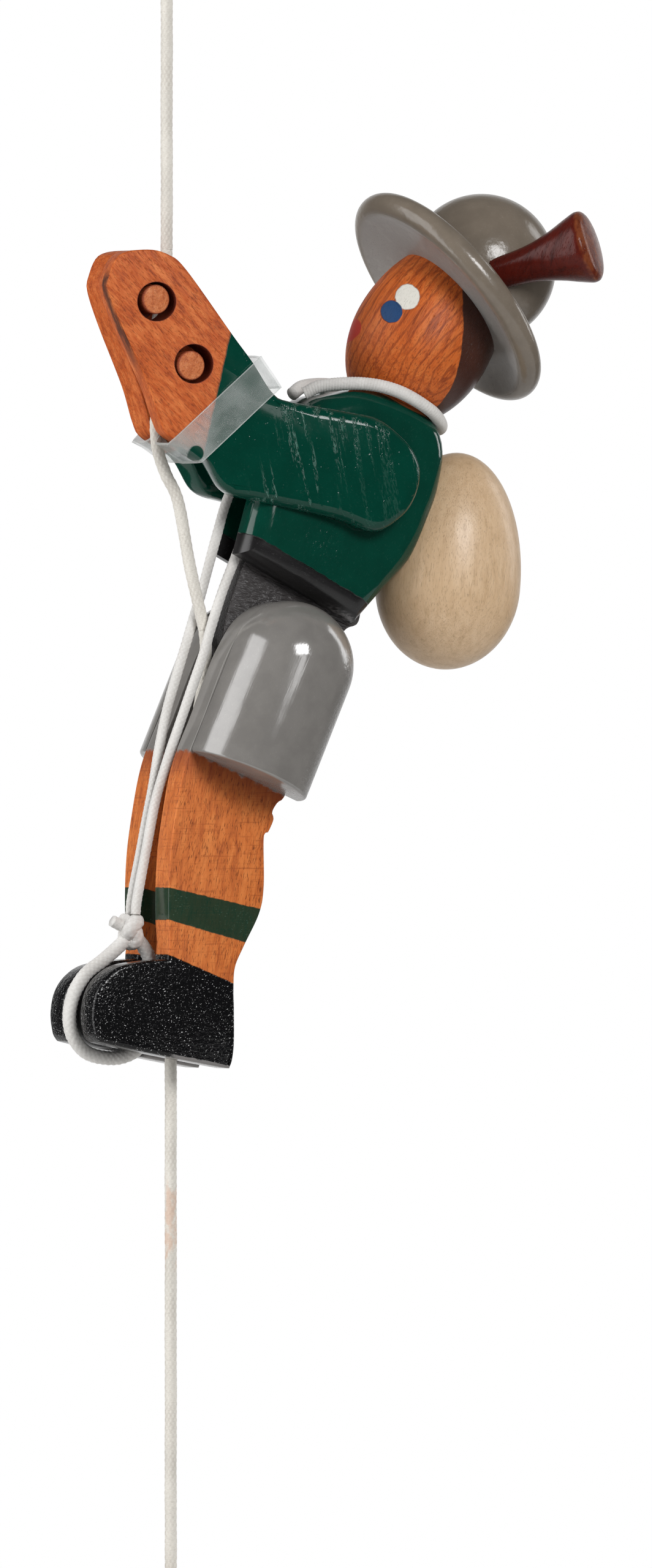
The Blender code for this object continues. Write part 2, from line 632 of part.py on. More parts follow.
def tuft_profile(grow):
    profile = [(0.0, -grow), (TUFT_ROOT_R + grow, -grow)]
    for share_out, share_up in TUFT_FLARE[1:]:
        profile.append((TUFT_ROOT_R + (TUFT_END_R - TUFT_ROOT_R) * share_out + grow, TUFT_L * share_up))
    profile.append((0.0, TUFT_L * 1.045 + grow))
    return profile


finish("hat_tuft", turned(tuft_profile(0.0), tuft_place, 20), "tuft_paint", lean_axis)
cut(hat, finish("tuft_root_cutter", turned(tuft_profile(SEAT_GAP), tuft_place, 20), "", lean_axis, True))

# Backpack: a turned egg, big end down, cut flat where it sits on the torso's back
pack_place = tilted(PACK_Y, PACK_Z, PACK_TILT) @ Matrix.Translation((0, 0, -PACK_WIDEST_BELOW))
pack = finish("backpack", turned(egg_profile(PACK_R, PACK_H / 2 + PACK_WIDEST_BELOW,
                                             PACK_H / 2 - PACK_WIDEST_BELOW), pack_place, 28), "pale_wood", lean_axis)
back_cutter = finish("back_seat_cutter", prism_x(inset(TORSO_SIDE, -SEAT_GAP), -TORSO_HALF - 8, TORSO_HALF + 8),
                     "", lean_axis, True)
cut(pack, back_cutter)
pack_seat = Vector((0, SHOULDER[0] + 13.4, SHOULDER[1] - 17.8))
pack_out = Vector((0, 0.78, -0.62)).normalized()
pack_dowel_place = pointing(pack_seat + pack_out * 1.0, pack_out)
finish("backpack_dowel", turned(rod_profile(PACK_DOWEL_D / 2, PACK_DOWEL_L), pack_dowel_place, 20), "pale_wood",
       lean_axis)
pack_hole = finish("backpack_hole_cutter",
                   turned(rod_profile(PACK_DOWEL_D / 2 + SEAT_GAP, PACK_DOWEL_L + 2 * SEAT_GAP),
                          pack_dowel_place, 20), "", lean_axis, True)
cut(pack, pack_hole)
cut(torso, pack_hole)

# Elastic: round the neck, then two strands down the slot
cord("elastic_neck_loop",
     from_place(SHOULDER, [(-2.9, -8.8, 15.5), (-4.6, -5.4, 17.1), (-8.6, 2.1, 17.5), (-10.5, 9.0, 15.9),
                           (-10.3, 16.1, 12.2), (-5.4, 20.8, 9.4), (0.0, 22.4, 8.4), (5.4, 20.8, 9.4),
                           (10.3, 16.1, 12.2), (10.5, 9.0, 15.9), (8.6, 2.1, 17.5), (4.6, -5.4, 17.1),
                           (2.9, -8.8, 15.5)]),
     NECK_LOOP_D, "elastic", lean_axis, spacing=3.4)
cord("elastic_strand_right",
     from_place(GRIP, [(-STRAND_X, 28.6, -14.5), (-STRAND_X, 22.6, -22.9), (-STRAND_X, 16.8, -32.9),
                       (-STRAND_X, 13.8, -41.9), (-STRAND_X, 10.8, -52.2), (-STRAND_X, 7.9, -60.9),
                       (-STRAND_X, 3.4, -74.9), (-1.9, 0.9, -84.0), (-1.3, -1.4, -94.9),
                       (-1.3, -3.5, -104.9), (-1.3, -5.6, -114.9), (-1.3, -6.0, -116.9)]),
     ELASTIC_D, "elastic", lean_axis, spacing=4.4)
cord("elastic_strand_left",
     from_place(GRIP, [(STRAND_X, 28.6, -14.5), (STRAND_X, 24.6, -24.9), (STRAND_X, 20.2, -34.9),
                       (STRAND_X, 16.8, -43.4), (STRAND_X, 13.2, -51.9), (STRAND_X, 10.5, -59.5),
                       (STRAND_X, 8.5, -65.8), (STRAND_X, 4.4, -76.8), (1.9, 1.3, -85.9),
                       (1.3, -1.4, -94.9), (1.3, -3.5, -104.9), (1.3, -5.6, -114.9), (1.3, -6.0, -116.9)]),
     ELASTIC_D, "elastic", lean_axis, spacing=4.4)

# The cord in front of the body, down to the nose of the pelvis board
cord("cord_front",
     from_place(GRIP, [(0.0, -1.53, -16.0), (0.0, -1.85, -19.9), (0.0, -1.45, -23.9), (0.0, 0.5, -28.7),
                       (0.0, 3.5, -34.4), (0.0, 6.9, -47.9), (0.0, 10.05, -60.4)]),
     CORD_D, "cotton", lean_axis, spacing=5.0)

# Hip axle
axle_place = Matrix.Translation((0, *HIP)) @ along_x
finish("hip_axle", turned(rod_profile(HIP_AXLE_D / 2, 2 * AXLE_HALF_L), axle_place, 20), "pale_wood", hip_axis)

# Legs: boards with round tops, the trousers' edge, a calf and a shoe in one outline
leg_top = []
for step in range(12):
    top_angle = math.radians(195 - 220 * step / 11)
    leg_top.append((HIP[0] + LEG_TOP_R * math.cos(top_angle), HIP[1] + LEG_TOP_R * math.sin(top_angle)))
LEG_SIDE = (leg_top + from_place(HIP, [(8.5, -10.7), (2.9, -20.2)])
            + from_place(SOLE, [(23.1, 55.5), (21.6, 54.3), (20.4, 52.4), (20.7, 50.9), (19.5, 48.3),
                               (18.5, 47.1), (18.5, 37.5), (17.5, 31.8), (14.0, 24.8), (12.2, 20.7),
                               (11.9, 16.2), (12.0, 12.1), (12.0, 5.6), (11.1, 0.0), (-3.9, 2.7),
                               (-18.7, 5.7), (-19.6, 8.6), (-19.8, 11.8), (-19.0, 15.6), (-16.9, 18.7),
                               (-13.4, 21.0), (-8.0, 22.0), (-3.0, 22.5), (-2.7, 26.1), (-2.9, 30.1),
                               (-2.9, 37.1), (-2.4, 45.1), (-1.0, 54.1)])
            + from_place(HIP, [(-23.6, -22.0), (-22.05, -17.3), (-19.1, -10.6), (-16.0, -3.5)]))
for leg_name, leg_from, leg_to in (("left_leg", LEG_INNER_X, LEG_OUTER_X),
                                   ("right_leg", -LEG_OUTER_X, -LEG_INNER_X)):
    leg = finish(leg_name, slab_x(LEG_SIDE, leg_from, leg_to, LEG_EDGE_R, 2), "leg_finish", hip_axis)
    cut(leg, axle_hole)

# Half-round thighs glued to the outer faces of the leg boards
def thigh_mesh(side):
    tilt = math.radians(THIGH_TILT)
    down = Vector((0, -math.sin(tilt), -math.cos(tilt)))
    across = Vector((0, math.cos(tilt), -math.sin(tilt)))
    centre = Vector((THIGH_FLAT_X * side, *HIP))
    outwards = Vector((side, 0, 0))
    sections = [(THIGH_R * math.cos(math.radians(a)), -THIGH_R * math.sin(math.radians(a)))
                for a in (75, 60, 45, 30, 15, 0)]
    sections += [(THIGH_R, THIGH_BELOW_HIP - 0.6), (THIGH_R - 0.6, THIGH_BELOW_HIP)]
    bm = bmesh.new()
    top = bm.verts.new(centre - down * THIGH_R)
    rings = []
    for radius, below in sections:
        rings.append([bm.verts.new(centre + down * below + outwards * radius * math.cos(math.radians(a))
                                   + across * radius * math.sin(math.radians(a)))
                      for a in range(-90, 91, 12)])
        rings[-1][0].co.x = centre.x
        rings[-1][-1].co.x = centre.x
    count = len(rings[0])
    for i in range(count - 1):
        bm.faces.new((top, rings[0][i], rings[0][i + 1]))
    for upper, lower in zip(rings, rings[1:]):
        for i in range(count - 1):
            bm.faces.new((upper[i], upper[i + 1], lower[i + 1], lower[i]))
    bm.faces.new(rings[-1])
    bm.faces.new([top] + [ring[0] for ring in rings] + [ring[-1] for ring in reversed(rings)])
    return bm


finish("left_thigh", thigh_mesh(1), "mid_grey_paint", hip_axis)
finish("right_thigh", thigh_mesh(-1), "mid_grey_paint", hip_axis)

# Spacer between the toes, with the elastic looped round it
SPACER_SIDE = from_place(SOLE, [(-10.4, 18.5), (-14.9, 17.6), (-17.6, 14.6), (-18.6, 10.6), (-17.4, 6.6),
                                (-14.9, 4.7), (-10.4, 4.2), (-6.8, 4.8), (-5.4, 7.1), (-5.4, 15.1),
                                (-7.4, 17.9)])
finish("toe_spacer", slab_x(SPACER_SIDE, -PELVIS_HALF, PELVIS_HALF, SPACER_EDGE_R, 2), "black_paint", hip_axis)
cord("elastic_foot_loop",
     from_place(SOLE, [(0.0, -9.2, 23.5), (0.0, -12.9, 22.2), (0.0, -17.2, 20.1), (0.0, -20.3, 15.3),
                       (0.0, -21.0, 10.5), (0.0, -19.3, 5.3), (0.0, -16.3, 2.4), (0.0, -11.8, 1.4),
                       (0.0, -7.0, 1.5), (0.0, -3.3, 5.5), (0.0, -2.8, 13.1), (0.0, -2.8, 19.6),
                       (0.0, -3.8, 23.5)]),
     FOOT_LOOP_D, "elastic", hip_axis, spacing=3.6)
knot_place = Matrix.Translation((0, SOLE[0] - 6.5, SOLE[1] + 28.3))
finish("elastic_knot", turned(egg_profile(ELASTIC_KNOT_R, 4.3, 4.3, steps=4), knot_place, 14), "elastic",
       hip_axis)

# The cord in the slot between the legs
cord("cord_in_legs",
     from_place(GRIP, [(0, 10.1, -60.8), (0, 10.4, -63.9), (0, 10.0, -69.9), (0, 7.8, -81.9), (0, 5.2, -93.9),
                       (0, 3.2, -104.9)]) + [(0, CORD_LOWER_Y, CORD_LOWER_TOP_Z + CORD_GAP)],
     CORD_D, "cotton", hip_axis, spacing=5.0)
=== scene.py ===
import json
import math

import bmesh
import bpy
import numpy as np
from mathutils import Matrix, Vector


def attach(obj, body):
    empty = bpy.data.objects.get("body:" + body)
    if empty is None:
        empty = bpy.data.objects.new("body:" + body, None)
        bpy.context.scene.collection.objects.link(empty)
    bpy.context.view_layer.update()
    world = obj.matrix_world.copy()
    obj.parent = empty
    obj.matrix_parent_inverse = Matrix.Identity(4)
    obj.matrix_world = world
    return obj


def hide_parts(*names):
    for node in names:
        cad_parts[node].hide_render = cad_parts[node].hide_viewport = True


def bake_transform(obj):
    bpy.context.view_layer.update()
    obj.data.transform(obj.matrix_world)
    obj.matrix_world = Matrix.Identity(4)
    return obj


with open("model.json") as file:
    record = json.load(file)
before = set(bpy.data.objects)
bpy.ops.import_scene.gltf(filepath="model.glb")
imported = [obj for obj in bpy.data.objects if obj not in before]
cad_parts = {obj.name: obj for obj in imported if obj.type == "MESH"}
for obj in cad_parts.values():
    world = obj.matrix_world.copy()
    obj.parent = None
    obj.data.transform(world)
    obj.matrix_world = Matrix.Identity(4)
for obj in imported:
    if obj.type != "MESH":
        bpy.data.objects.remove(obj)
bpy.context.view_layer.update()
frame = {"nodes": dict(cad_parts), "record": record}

MM = 0.001

# Camera
# The photograph looks at the toy's left side from 25 degrees in front of square, level with its hip, through
# a long lens, and shows 320 mm of height.
VIEW_DISTANCE = 6.0
VIEW_HEIGHT_SHOWN = 0.320
VIEW_TURN = math.radians(65.0)
VIEW_CENTRE = Vector((0.01373, 0.02945, -0.2))
SENSOR = 24.0
view_back = Vector((math.sin(VIEW_TURN), -math.cos(VIEW_TURN), 0.0))
bpy.ops.object.select_all(action="DESELECT")
bpy.ops.object.camera_add(location=VIEW_CENTRE + view_back * VIEW_DISTANCE,
                          rotation=(math.radians(90.0), 0.0, VIEW_TURN))
camera = bpy.context.object
camera.name = "photo_camera"
camera.data.sensor_fit = "VERTICAL"
camera.data.sensor_height = SENSOR
camera.data.lens = SENSOR * VIEW_DISTANCE / VIEW_HEIGHT_SHOWN
camera.data.clip_start = 0.01
bpy.context.scene.camera = camera

# Floor, backdrop and lamps
# A plain pale floor well below the bead, a white backdrop, a tall soft box well round to the left, a smaller
# one above the camera's right with a weak one under it, and a narrow one behind the toy on the right.
FLOOR_Z = -0.42
LAMP_AIM = Vector((0.01373, 0.02945, -0.17))
SURROUND_GREY = 0.2
BACKDROP_MIRRORED = (0.72, 1.0, 0.05, 0.9)
bpy.context.scene.view_settings.view_transform = "Standard"


def plain_finish(name, colour, roughness, **sockets):
    """A material with its shader's own sockets set; finer nodes are wired in afterwards."""
    material = bpy.data.materials.new(name)
    material.use_nodes = True
    shader = material.node_tree.nodes["Principled BSDF"]
    shader.inputs["Base Color"].default_value = (*colour, 1.0)
    shader.inputs["Roughness"].default_value = roughness
    for key, value in sockets.items():
        shader.inputs[key.replace("_", " ")].default_value = value
    return material, shader


bpy.ops.mesh.primitive_circle_add(vertices=96, radius=0.5, fill_type="NGON", location=(0.0, 0.0, FLOOR_Z))
floor = bpy.context.object
floor.name = "floor"
bpy.ops.object.transform_apply(location=True, rotation=True, scale=True)
floor_paint = plain_finish("floor_paint", (0.86, 0.86, 0.85), 0.9)[0]
floor.data.materials.append(floor_paint)

world = bpy.data.worlds.new("studio_surround")
bpy.context.scene.world = world
world.use_nodes = True
surround_nodes = world.node_tree.nodes
surround_links = world.node_tree.links
surround_nodes.clear()
light_path = surround_nodes.new("ShaderNodeLightPath")
seen_white, mirrored, soft_grey = (surround_nodes.new("ShaderNodeBackground") for part in range(3))
for part in (seen_white, mirrored, soft_grey):
    part.inputs["Color"].default_value = (1.0, 1.0, 1.0, 1.0)
soft_grey.inputs["Strength"].default_value = SURROUND_GREY
looking = surround_nodes.new("ShaderNodeTexCoord")
towards_backdrop = surround_nodes.new("ShaderNodeVectorMath")
towards_backdrop.operation = "DOT_PRODUCT"
towards_backdrop.inputs[1].default_value = -view_back
backdrop_edge = surround_nodes.new("ShaderNodeMapRange")
backdrop_edge.interpolation_type = "SMOOTHSTEP"
for socket, value in zip(backdrop_edge.inputs[1:], BACKDROP_MIRRORED):
    socket.default_value = value
seen_directly = surround_nodes.new("ShaderNodeMath")
seen_directly.operation = "MAXIMUM"
glossy_mix = surround_nodes.new("ShaderNodeMixShader")
surround_mix = surround_nodes.new("ShaderNodeMixShader")
surround_out = surround_nodes.new("ShaderNodeOutputWorld")
for value, socket in ((looking.outputs["Generated"], towards_backdrop.inputs[0]),
                      (towards_backdrop.outputs["Value"], backdrop_edge.inputs[0]),
                      (backdrop_edge.outputs[0], mirrored.inputs["Strength"]),
                      (light_path.outputs["Is Glossy Ray"], glossy_mix.inputs[0]),
                      (soft_grey.outputs[0], glossy_mix.inputs[1]),
                      (mirrored.outputs[0], glossy_mix.inputs[2]),
                      (light_path.outputs["Is Camera Ray"], seen_directly.inputs[0]),
                      (light_path.outputs["Is Transmission Ray"], seen_directly.inputs[1]),
                      (seen_directly.outputs[0], surround_mix.inputs[0]),
                      (glossy_mix.outputs[0], surround_mix.inputs[1]),
                      (seen_white.outputs[0], surround_mix.inputs[2]),
                      (surround_mix.outputs[0], surround_out.inputs[0])):
    surround_links.new(value, socket)


def soft_box(name, turn_from_camera, height, distance, width, tall, watts):
    """A rectangular lamp that faces the toy. A positive turn puts it right of the camera."""
    angle = VIEW_TURN + math.radians(turn_from_camera)
    place = LAMP_AIM + Vector((math.sin(angle), -math.cos(angle), 0.0)) * distance + Vector((0, 0, height))
    bpy.ops.object.light_add(type="AREA", location=place)
    lamp = bpy.context.object
    lamp.name = name
    lamp.rotation_euler = (LAMP_AIM - place).to_track_quat("-Z", "Y").to_euler()
    lamp.data.shape = "RECTANGLE"
    lamp.data.size = width
    lamp.data.size_y = tall
    lamp.data.energy = watts


soft_box("left_soft_box", -73.0, 0.25, 1.3, 1.0, 1.7, 18.0)
soft_box("right_soft_box", 27.0, 0.58, 1.12, 0.46, 0.4, 10.5)
soft_box("low_right_soft_box", 27.0, 0.24, 1.25, 0.22, 0.2, 0.5)
soft_box("rim_soft_box", 122.0, 0.4, 1.1, 0.3, 0.8, 2.6)

# Cord
# One braided off-white cotton cord, 2.5 mm thick. It hangs from the ring, passes between the pegs of the two
# hands and down in front of the body, dives into the slot between the legs and leaves it under the feet.
CORD_D = 2.5 * MM
BRAID_YARNS = 8
BRAID_PITCH = 1.65 * MM
COTTON = (0.72, 0.69, 0.63)
# The darker cotton colour is painted shade between the yarns, and also the tone of loose fibres.
COTTON_SHADE_AND_FIBRE = (0.43, 0.39, 0.34)
COTTON_STAIN = (0.6, 0.36, 0.24)
joints = {joint["name"]: joint for joint in frame["record"]["behaviour"]["joints"]}
GRIP = tuple(value / MM for value in joints["lean"]["pos_m"][1:])
HIP = tuple(value / MM for value in joints["hip"]["pos_m"][1:])
SHOULDER = (GRIP[0] + 40.0, GRIP[1] - 27.6)
SOLE = (GRIP[0], HIP[1] - 82.3)
HAND_TOP_Z = GRIP[1] + 17.1
CORD_LOWER_TOP_Z = SOLE[1] + 33.1
CORD_LOWER_Y = GRIP[0] + 2.5
CORD_LOWER_END_Z = SOLE[1] - 121.9
CORD_UPPER_TOP_Z = -36.6


def from_place(place, points):
    """Points in millimetres measured from a place, moved there. The last two numbers of each are y and z."""
    return [(*point[:-2], place[0] + point[-2], place[1] + point[-1]) for point in points]


def curve_through(points, step, closed=False):
    """Places in millimetres at an even step on one smooth curve through the points."""
    points = [Vector(point) if len(point) == 3 else Vector((0.0, *point)) for point in points]
    if closed:
        ends = [points[-1]] + points + points[:2]
    else:
        ends = [points[0] * 2 - points[1]] + points + [points[-1] * 2 - points[-2]]
    dense = []
    for p0, p1, p2, p3 in zip(ends, ends[1:], ends[2:], ends[3:]):
        for k in range(24):
            t = k / 24
            dense.append((p1 * 2 + (p2 - p0) * t + (p0 * 2 - p1 * 5 + p2 * 4 - p3) * t * t
                          + (p1 * 3 - p0 - p2 * 3 + p3) * t ** 3) / 2)
    dense.append(ends[-2])
    dense = np.array([tuple(point) for point in dense])
    run = np.concatenate(([0.0], np.cumsum(np.linalg.norm(np.diff(dense, axis=0), axis=1))))
    places = np.linspace(0.0, run[-1], max(2, round(run[-1] / step) + 1))
    path = np.column_stack([np.interp(places, run, dense[:, axis]) for axis in range(3)])
    return path[:-1] if closed else path


def textile_tube(name, path, surface, around=40, closed=False):
    """A cord along a path in metres. surface(turn, run) gives its radius, with turn from 0 to 1 round it and
    run along it. The attribute crease tells how deep each point lies between the yarns."""
    step = np.roll(path, -1, axis=0) - path
    tangent = step + np.roll(step, 1, axis=0)
    if not closed:
        tangent[0], tangent[-1] = path[1] - path[0], path[-1] - path[-2]
    tangent /= np.linalg.norm(tangent, axis=1)[:, None]
    side = np.cross(tangent[0], (0.0, 1.0, 0.0) if abs(tangent[0][1]) < 0.8 else (1.0, 0.0, 0.0))
    sides = []
    for direction in tangent:
        side = side - direction * side.dot(direction)
        side = side / np.linalg.norm(side)
        sides.append(side)
    sides = np.array(sides)
    ups = np.cross(tangent, sides)
    run = np.concatenate(([0.0], np.cumsum(np.linalg.norm(np.diff(path, axis=0), axis=1))))
    turn = np.arange(around) / around
    radius = surface(turn[None, :], run[:, None])
    angle = 2 * np.pi * turn
    verts = (path[:, None, :] + radius[..., None] * (np.cos(angle)[None, :, None] * sides[:, None, :]
                                                     + np.sin(angle)[None, :, None] * ups[:, None, :]))
    rings = len(path)
    bands = rings if closed else rings - 1
    i, j = np.meshgrid(np.arange(bands), np.arange(around), indexing="ij")
    below, above, beside = i * around, (i + 1) % rings * around, (j + 1) % around
    faces = np.stack([below + j, below + beside, above + beside, above + j], axis=-1).reshape(-1, 4).tolist()
    points = verts.reshape(-1, 3).tolist()
    if not closed:
        points += [path[0].tolist(), path[-1].tolist()]
        for k in range(around):
            after = (k + 1) % around
            faces.append([rings * around, after, k])
            faces.append([rings * around + 1, (rings - 1) * around + k, (rings - 1) * around + after])
    mesh = bpy.data.meshes.new(name)
    mesh.from_pydata(points, [], faces)
    deep = 1.0 - (radius - radius.min()) / max(radius.max() - radius.min(), 1e-9)
    crease = mesh.attributes.new("crease", "FLOAT", "POINT")
    crease.data.foreach_set("value", np.concatenate([deep.ravel(), np.zeros(len(points) - deep.size)]))
    circumference = np.pi * 2 * np.median(radius)
    reached = run / circumference
    upper = reached[1:] if not closed else np.append(reached[1:], reached[-1] + reached[1])
    uv = np.zeros((len(mesh.loops), 2))
    quads = np.stack([np.stack([j / around, reached[:bands, None] + 0 * j], -1),
                      np.stack([(j + 1) / around, reached[:bands, None] + 0 * j], -1),
                      np.stack([(j + 1) / around, upper[:, None] + 0 * j], -1),
                      np.stack([j / around, upper[:, None] + 0 * j], -1)], axis=2)
    uv[:bands * around * 4] = quads.reshape(-1, 2)
    mesh.uv_layers.new(name="lay").data.foreach_set("uv", uv.ravel())
    mesh.shade_smooth()
    tube = bpy.data.objects.new(name, mesh)
    bpy.context.collection.objects.link(tube)
    return tube


def braid(turn, run):
    """Yarns that cross over and under each other, as long lumps set like bricks."""
    left = BRAID_YARNS * turn + run / BRAID_PITCH
    right = BRAID_YARNS * turn - run / BRAID_PITCH
    lump = np.abs(np.cos(np.pi * left) * np.cos(np.pi * right))
    slack = 0.016 * np.sin(run / (1.7 * MM)) + 0.018 * np.sin(run / (4.7 * MM) + 2 * np.pi * turn)
    return CORD_D / 2 * (0.93 + 0.08 * lump ** 0.6 + slack)


def connect(socket, value):
    """Link a socket, or set it to a number or a colour."""
    if isinstance(value, bpy.types.NodeSocket):
        socket.id_data.links.new(value, socket)
    elif hasattr(socket, "default_value") and isinstance(value, tuple) and len(socket.default_value) == 4:
        socket.default_value = (*value, 1.0)
    else:
        socket.default_value = value


def new_node(kind, *values):
    """A node in the material that a socket among the values belongs to."""
    tree = next(value.id_data for value in values if isinstance(value, bpy.types.NodeSocket))
    return tree.nodes.new(kind)


def maths(operation, *values):
    node = new_node("ShaderNodeMath", *values)
    node.operation = operation
    for socket, value in zip(node.inputs, values):
        connect(socket, value)
    return node.outputs[0]


def times(*values):
    """The product of masks and numbers."""
    product = values[0]
    for value in values[1:]:
        product = maths("MULTIPLY", product, value)
    return product


def blend_colours(factor, first, second):
    node = new_node("ShaderNodeMix", factor)
    node.data_type = "RGBA"
    for socket, value in ((node.inputs[0], factor), (node.inputs[6], first), (node.inputs[7], second)):
        connect(socket, value)
    return node.outputs[2]


def step_between(value, low, high, start=0.0, end=1.0):
    """Rises smoothly from start to end as the value goes from low to high."""
    node = new_node("ShaderNodeMapRange", value)
    node.interpolation_type = "SMOOTHSTEP"
    for socket, number in zip(node.inputs, (value, low, high, start, end)):
        connect(socket, number)
    return node.outputs[0]


def object_place(material):
    """The point on the piece, in metres of the toy's own frame."""
    return material.node_tree.nodes.new("ShaderNodeTexCoord").outputs["Object"]


def turned_space(material, origin, turn, size):
    """The point on the piece as measured from an origin, along turned axes, in units of the size."""
    space = material.node_tree.nodes.new("ShaderNodeMapping")
    space.vector_type = "TEXTURE"
    connect(space.inputs["Vector"], object_place(material))
    for name, value in (("Location", origin), ("Rotation", turn), ("Scale", size)):
        space.inputs[name].default_value = value
    return space.outputs[0]


def grain(material, size, turn=(0.0, 0.0, 0.0), detail=4.0, roughness=0.55, distortion=0.0):
    """Noise whose features have the given size in millimetres along X, Y and Z, turned by the angles."""
    space = turned_space(material, (0, 0, 0), [math.radians(angle) for angle in turn],
                         [value * MM for value in size])
    noise = material.node_tree.nodes.new("ShaderNodeTexNoise")
    connect(noise.inputs["Vector"], space)
    for name, value in (("Scale", 1.0), ("Detail", detail), ("Roughness", roughness),
                        ("Distortion", distortion)):
        noise.inputs[name].default_value = value
    return noise.outputs["Fac"]


def relief(shader, height, depth, strength=1.0):
    """Raise the surface by the height field, which is at most depth metres."""
    bump = new_node("ShaderNodeBump", height)
    bump.inputs["Strength"].default_value = strength
    bump.inputs["Distance"].default_value = depth
    connect(bump.inputs["Height"], height)
    previous = shader.inputs["Normal"]
    if previous.is_linked:
        connect(bump.inputs["Normal"], previous.links[0].from_socket)
    connect(previous, bump.outputs[0])


def attribute(material, name):
    node = material.node_tree.nodes.new("ShaderNodeAttribute")
    node.attribute_name = name
    return node.outputs["Fac"]


def textile(name, colour, shade_and_fibre_colour, stain_between=None):
    """Matt cotton with painted shade between the yarns, fine loose fibres and a stain between two heights."""
    material, shader = plain_finish(name, colour, 0.9, Sheen_Weight=0.25, Sheen_Roughness=0.6,
                                    Specular_IOR_Level=0.25)
    fibre = grain(material, (0.5, 0.5, 0.16), detail=3.0)
    soiling = grain(material, (3.0, 3.0, 9.0), detail=3.0)
    # Painted shade: the colour darkens where the point lies deep between the yarns, as the crease attribute
    # tells.
    depth = step_between(attribute(material, "crease"), 0.35, 1.0, 0.0, 0.5)
    tone = blend_colours(step_between(soiling, 0.35, 0.75), colour, tuple(value * 0.9 for value in colour))
    tone = blend_colours(step_between(fibre, 0.45, 0.7, 0.0, 0.35), tone, shade_and_fibre_colour)
    tone = blend_colours(depth, tone, shade_and_fibre_colour)
    if stain_between:
        nodes = material.node_tree.nodes
        split = nodes.new("ShaderNodeSeparateXYZ")
        connect(split.inputs[0], object_place(material))
        low, high = (value * MM for value in stain_between)
        above = step_between(split.outputs[2], low, low + 0.004)
        under = step_between(split.outputs[2], high - 0.004, high, 1.0, 0.0)
        patchy = step_between(grain(material, (2.0, 2.0, 3.5)), 0.42, 0.6, 0.0, 0.55)
        stained = times(above, under, patchy)
        tone = blend_colours(stained, tone, COTTON_STAIN)
    connect(shader.inputs["Base Color"], tone)
    relief(shader, fibre, 0.0001, 0.5)
    return material


cord_cotton = textile("cord_cotton", COTTON, COTTON_SHADE_AND_FIBRE)
cord_cotton_stained = textile("cord_cotton_stained", COTTON, COTTON_SHADE_AND_FIBRE, (-300.0, -279.0))
BRAID_STEP = 0.2
upper_path = curve_through([(0, 0, CORD_UPPER_TOP_Z), (0, 0, HAND_TOP_Z)], BRAID_STEP) * MM
cord_above = textile_tube("cord_above_hands", upper_path, braid)
front_route = ([(0, 0, HAND_TOP_Z)]
               + from_place(GRIP, [(0, 1.25, 12.6), (0, 0.3, 6.85), (0, -0.9, 0.1), (0, -1.8, -6.6),
                                   (0, -1.5, -11.4), (0, -0.8, -15.7), (0, -0.85, -19.9), (0, -0.4, -23.9),
                                   (0, 1.4, -28.7), (0, 4.2, -34.4), (0, 6.9, -47.9), (0, 10.05, -60.4)]))
cord_down_front = textile_tube("cord_down_front", curve_through(front_route, BRAID_STEP) * MM, braid)
slot_route = (from_place(GRIP, [(0, 10.1, -60.5), (0, 10.4, -63.9), (0, 10.0, -69.9), (0, 7.8, -81.9),
                                (0, 5.2, -93.9), (0, 3.2, -104.9)]) + [(0, CORD_LOWER_Y, CORD_LOWER_TOP_Z)])
cord_in_slot = textile_tube("cord_in_slot", curve_through(slot_route, BRAID_STEP) * MM, braid)
lower_path = curve_through([(0, CORD_LOWER_Y, CORD_LOWER_TOP_Z), (0, CORD_LOWER_Y, CORD_LOWER_END_Z)],
                           BRAID_STEP) * MM
cord_below = textile_tube("cord_below_feet", lower_path, braid)
for tube in (cord_above, cord_down_front, cord_in_slot):
    tube.data.materials.append(cord_cotton)
cord_below.data.materials.append(cord_cotton_stained)
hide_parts("cord_upper")
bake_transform(cord_above)
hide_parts("cord_at_hands", "cord_front")
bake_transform(cord_down_front)
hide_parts("cord_in_legs")
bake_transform(cord_in_slot)
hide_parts("cord_lower")
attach(cord_below, "line")

# Knots at the cord's two ends, and the loop through the ring
# The cord is passed through the ring, knotted above the figure, and knotted again below the pull bead. Each
# knot is a length of the same cord drawn up tight.
KNOT_SPREAD = 0.62
TIE_LOOP_R = 4.05
TIE_LOOP_Z = -24.5
KNOT_HALF_HEIGHT = 1.9
KNOT_DRAWN_IN = 0.95


def once_round(count):
    """Evenly spaced angles round a full turn."""
    return np.linspace(0.0, 2 * np.pi, count, endpoint=False)


def drawn_up_knot(name, centre_z, y, node):
    """A three-lobed knot of the cord, pulled tight."""
    angle = once_round(120)
    knot_path = np.column_stack([KNOT_SPREAD * (np.sin(angle) + 2 * np.sin(2 * angle)),
                                 y + KNOT_SPREAD * (np.cos(angle) - 2 * np.cos(2 * angle)),
                                 centre_z - KNOT_HALF_HEIGHT * np.sin(3 * angle)]) * MM
    knot = textile_tube(name, knot_path, lambda turn, run: braid(turn, run) * KNOT_DRAWN_IN, closed=True)
    knot.data.materials.append(cord_cotton)
    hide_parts(node)
    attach(knot, "line")
    return knot


drawn_up_knot("knot_below_ring", -33.2, 0.0, "top_knot")
end_knot = drawn_up_knot("knot_below_bead", CORD_LOWER_END_Z - 3.4, CORD_LOWER_Y, "bottom_knot")
angle = once_round(130)
loop_path = np.column_stack([0 * angle, TIE_LOOP_R * np.sin(angle),
                             TIE_LOOP_Z + TIE_LOOP_R * np.cos(angle)]) * MM
tie_loop = textile_tube("loop_through_ring", loop_path, braid, closed=True)
tie_loop.data.materials.append(cord_cotton)
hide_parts("ring_tie_loop")
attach(tie_loop, "line")

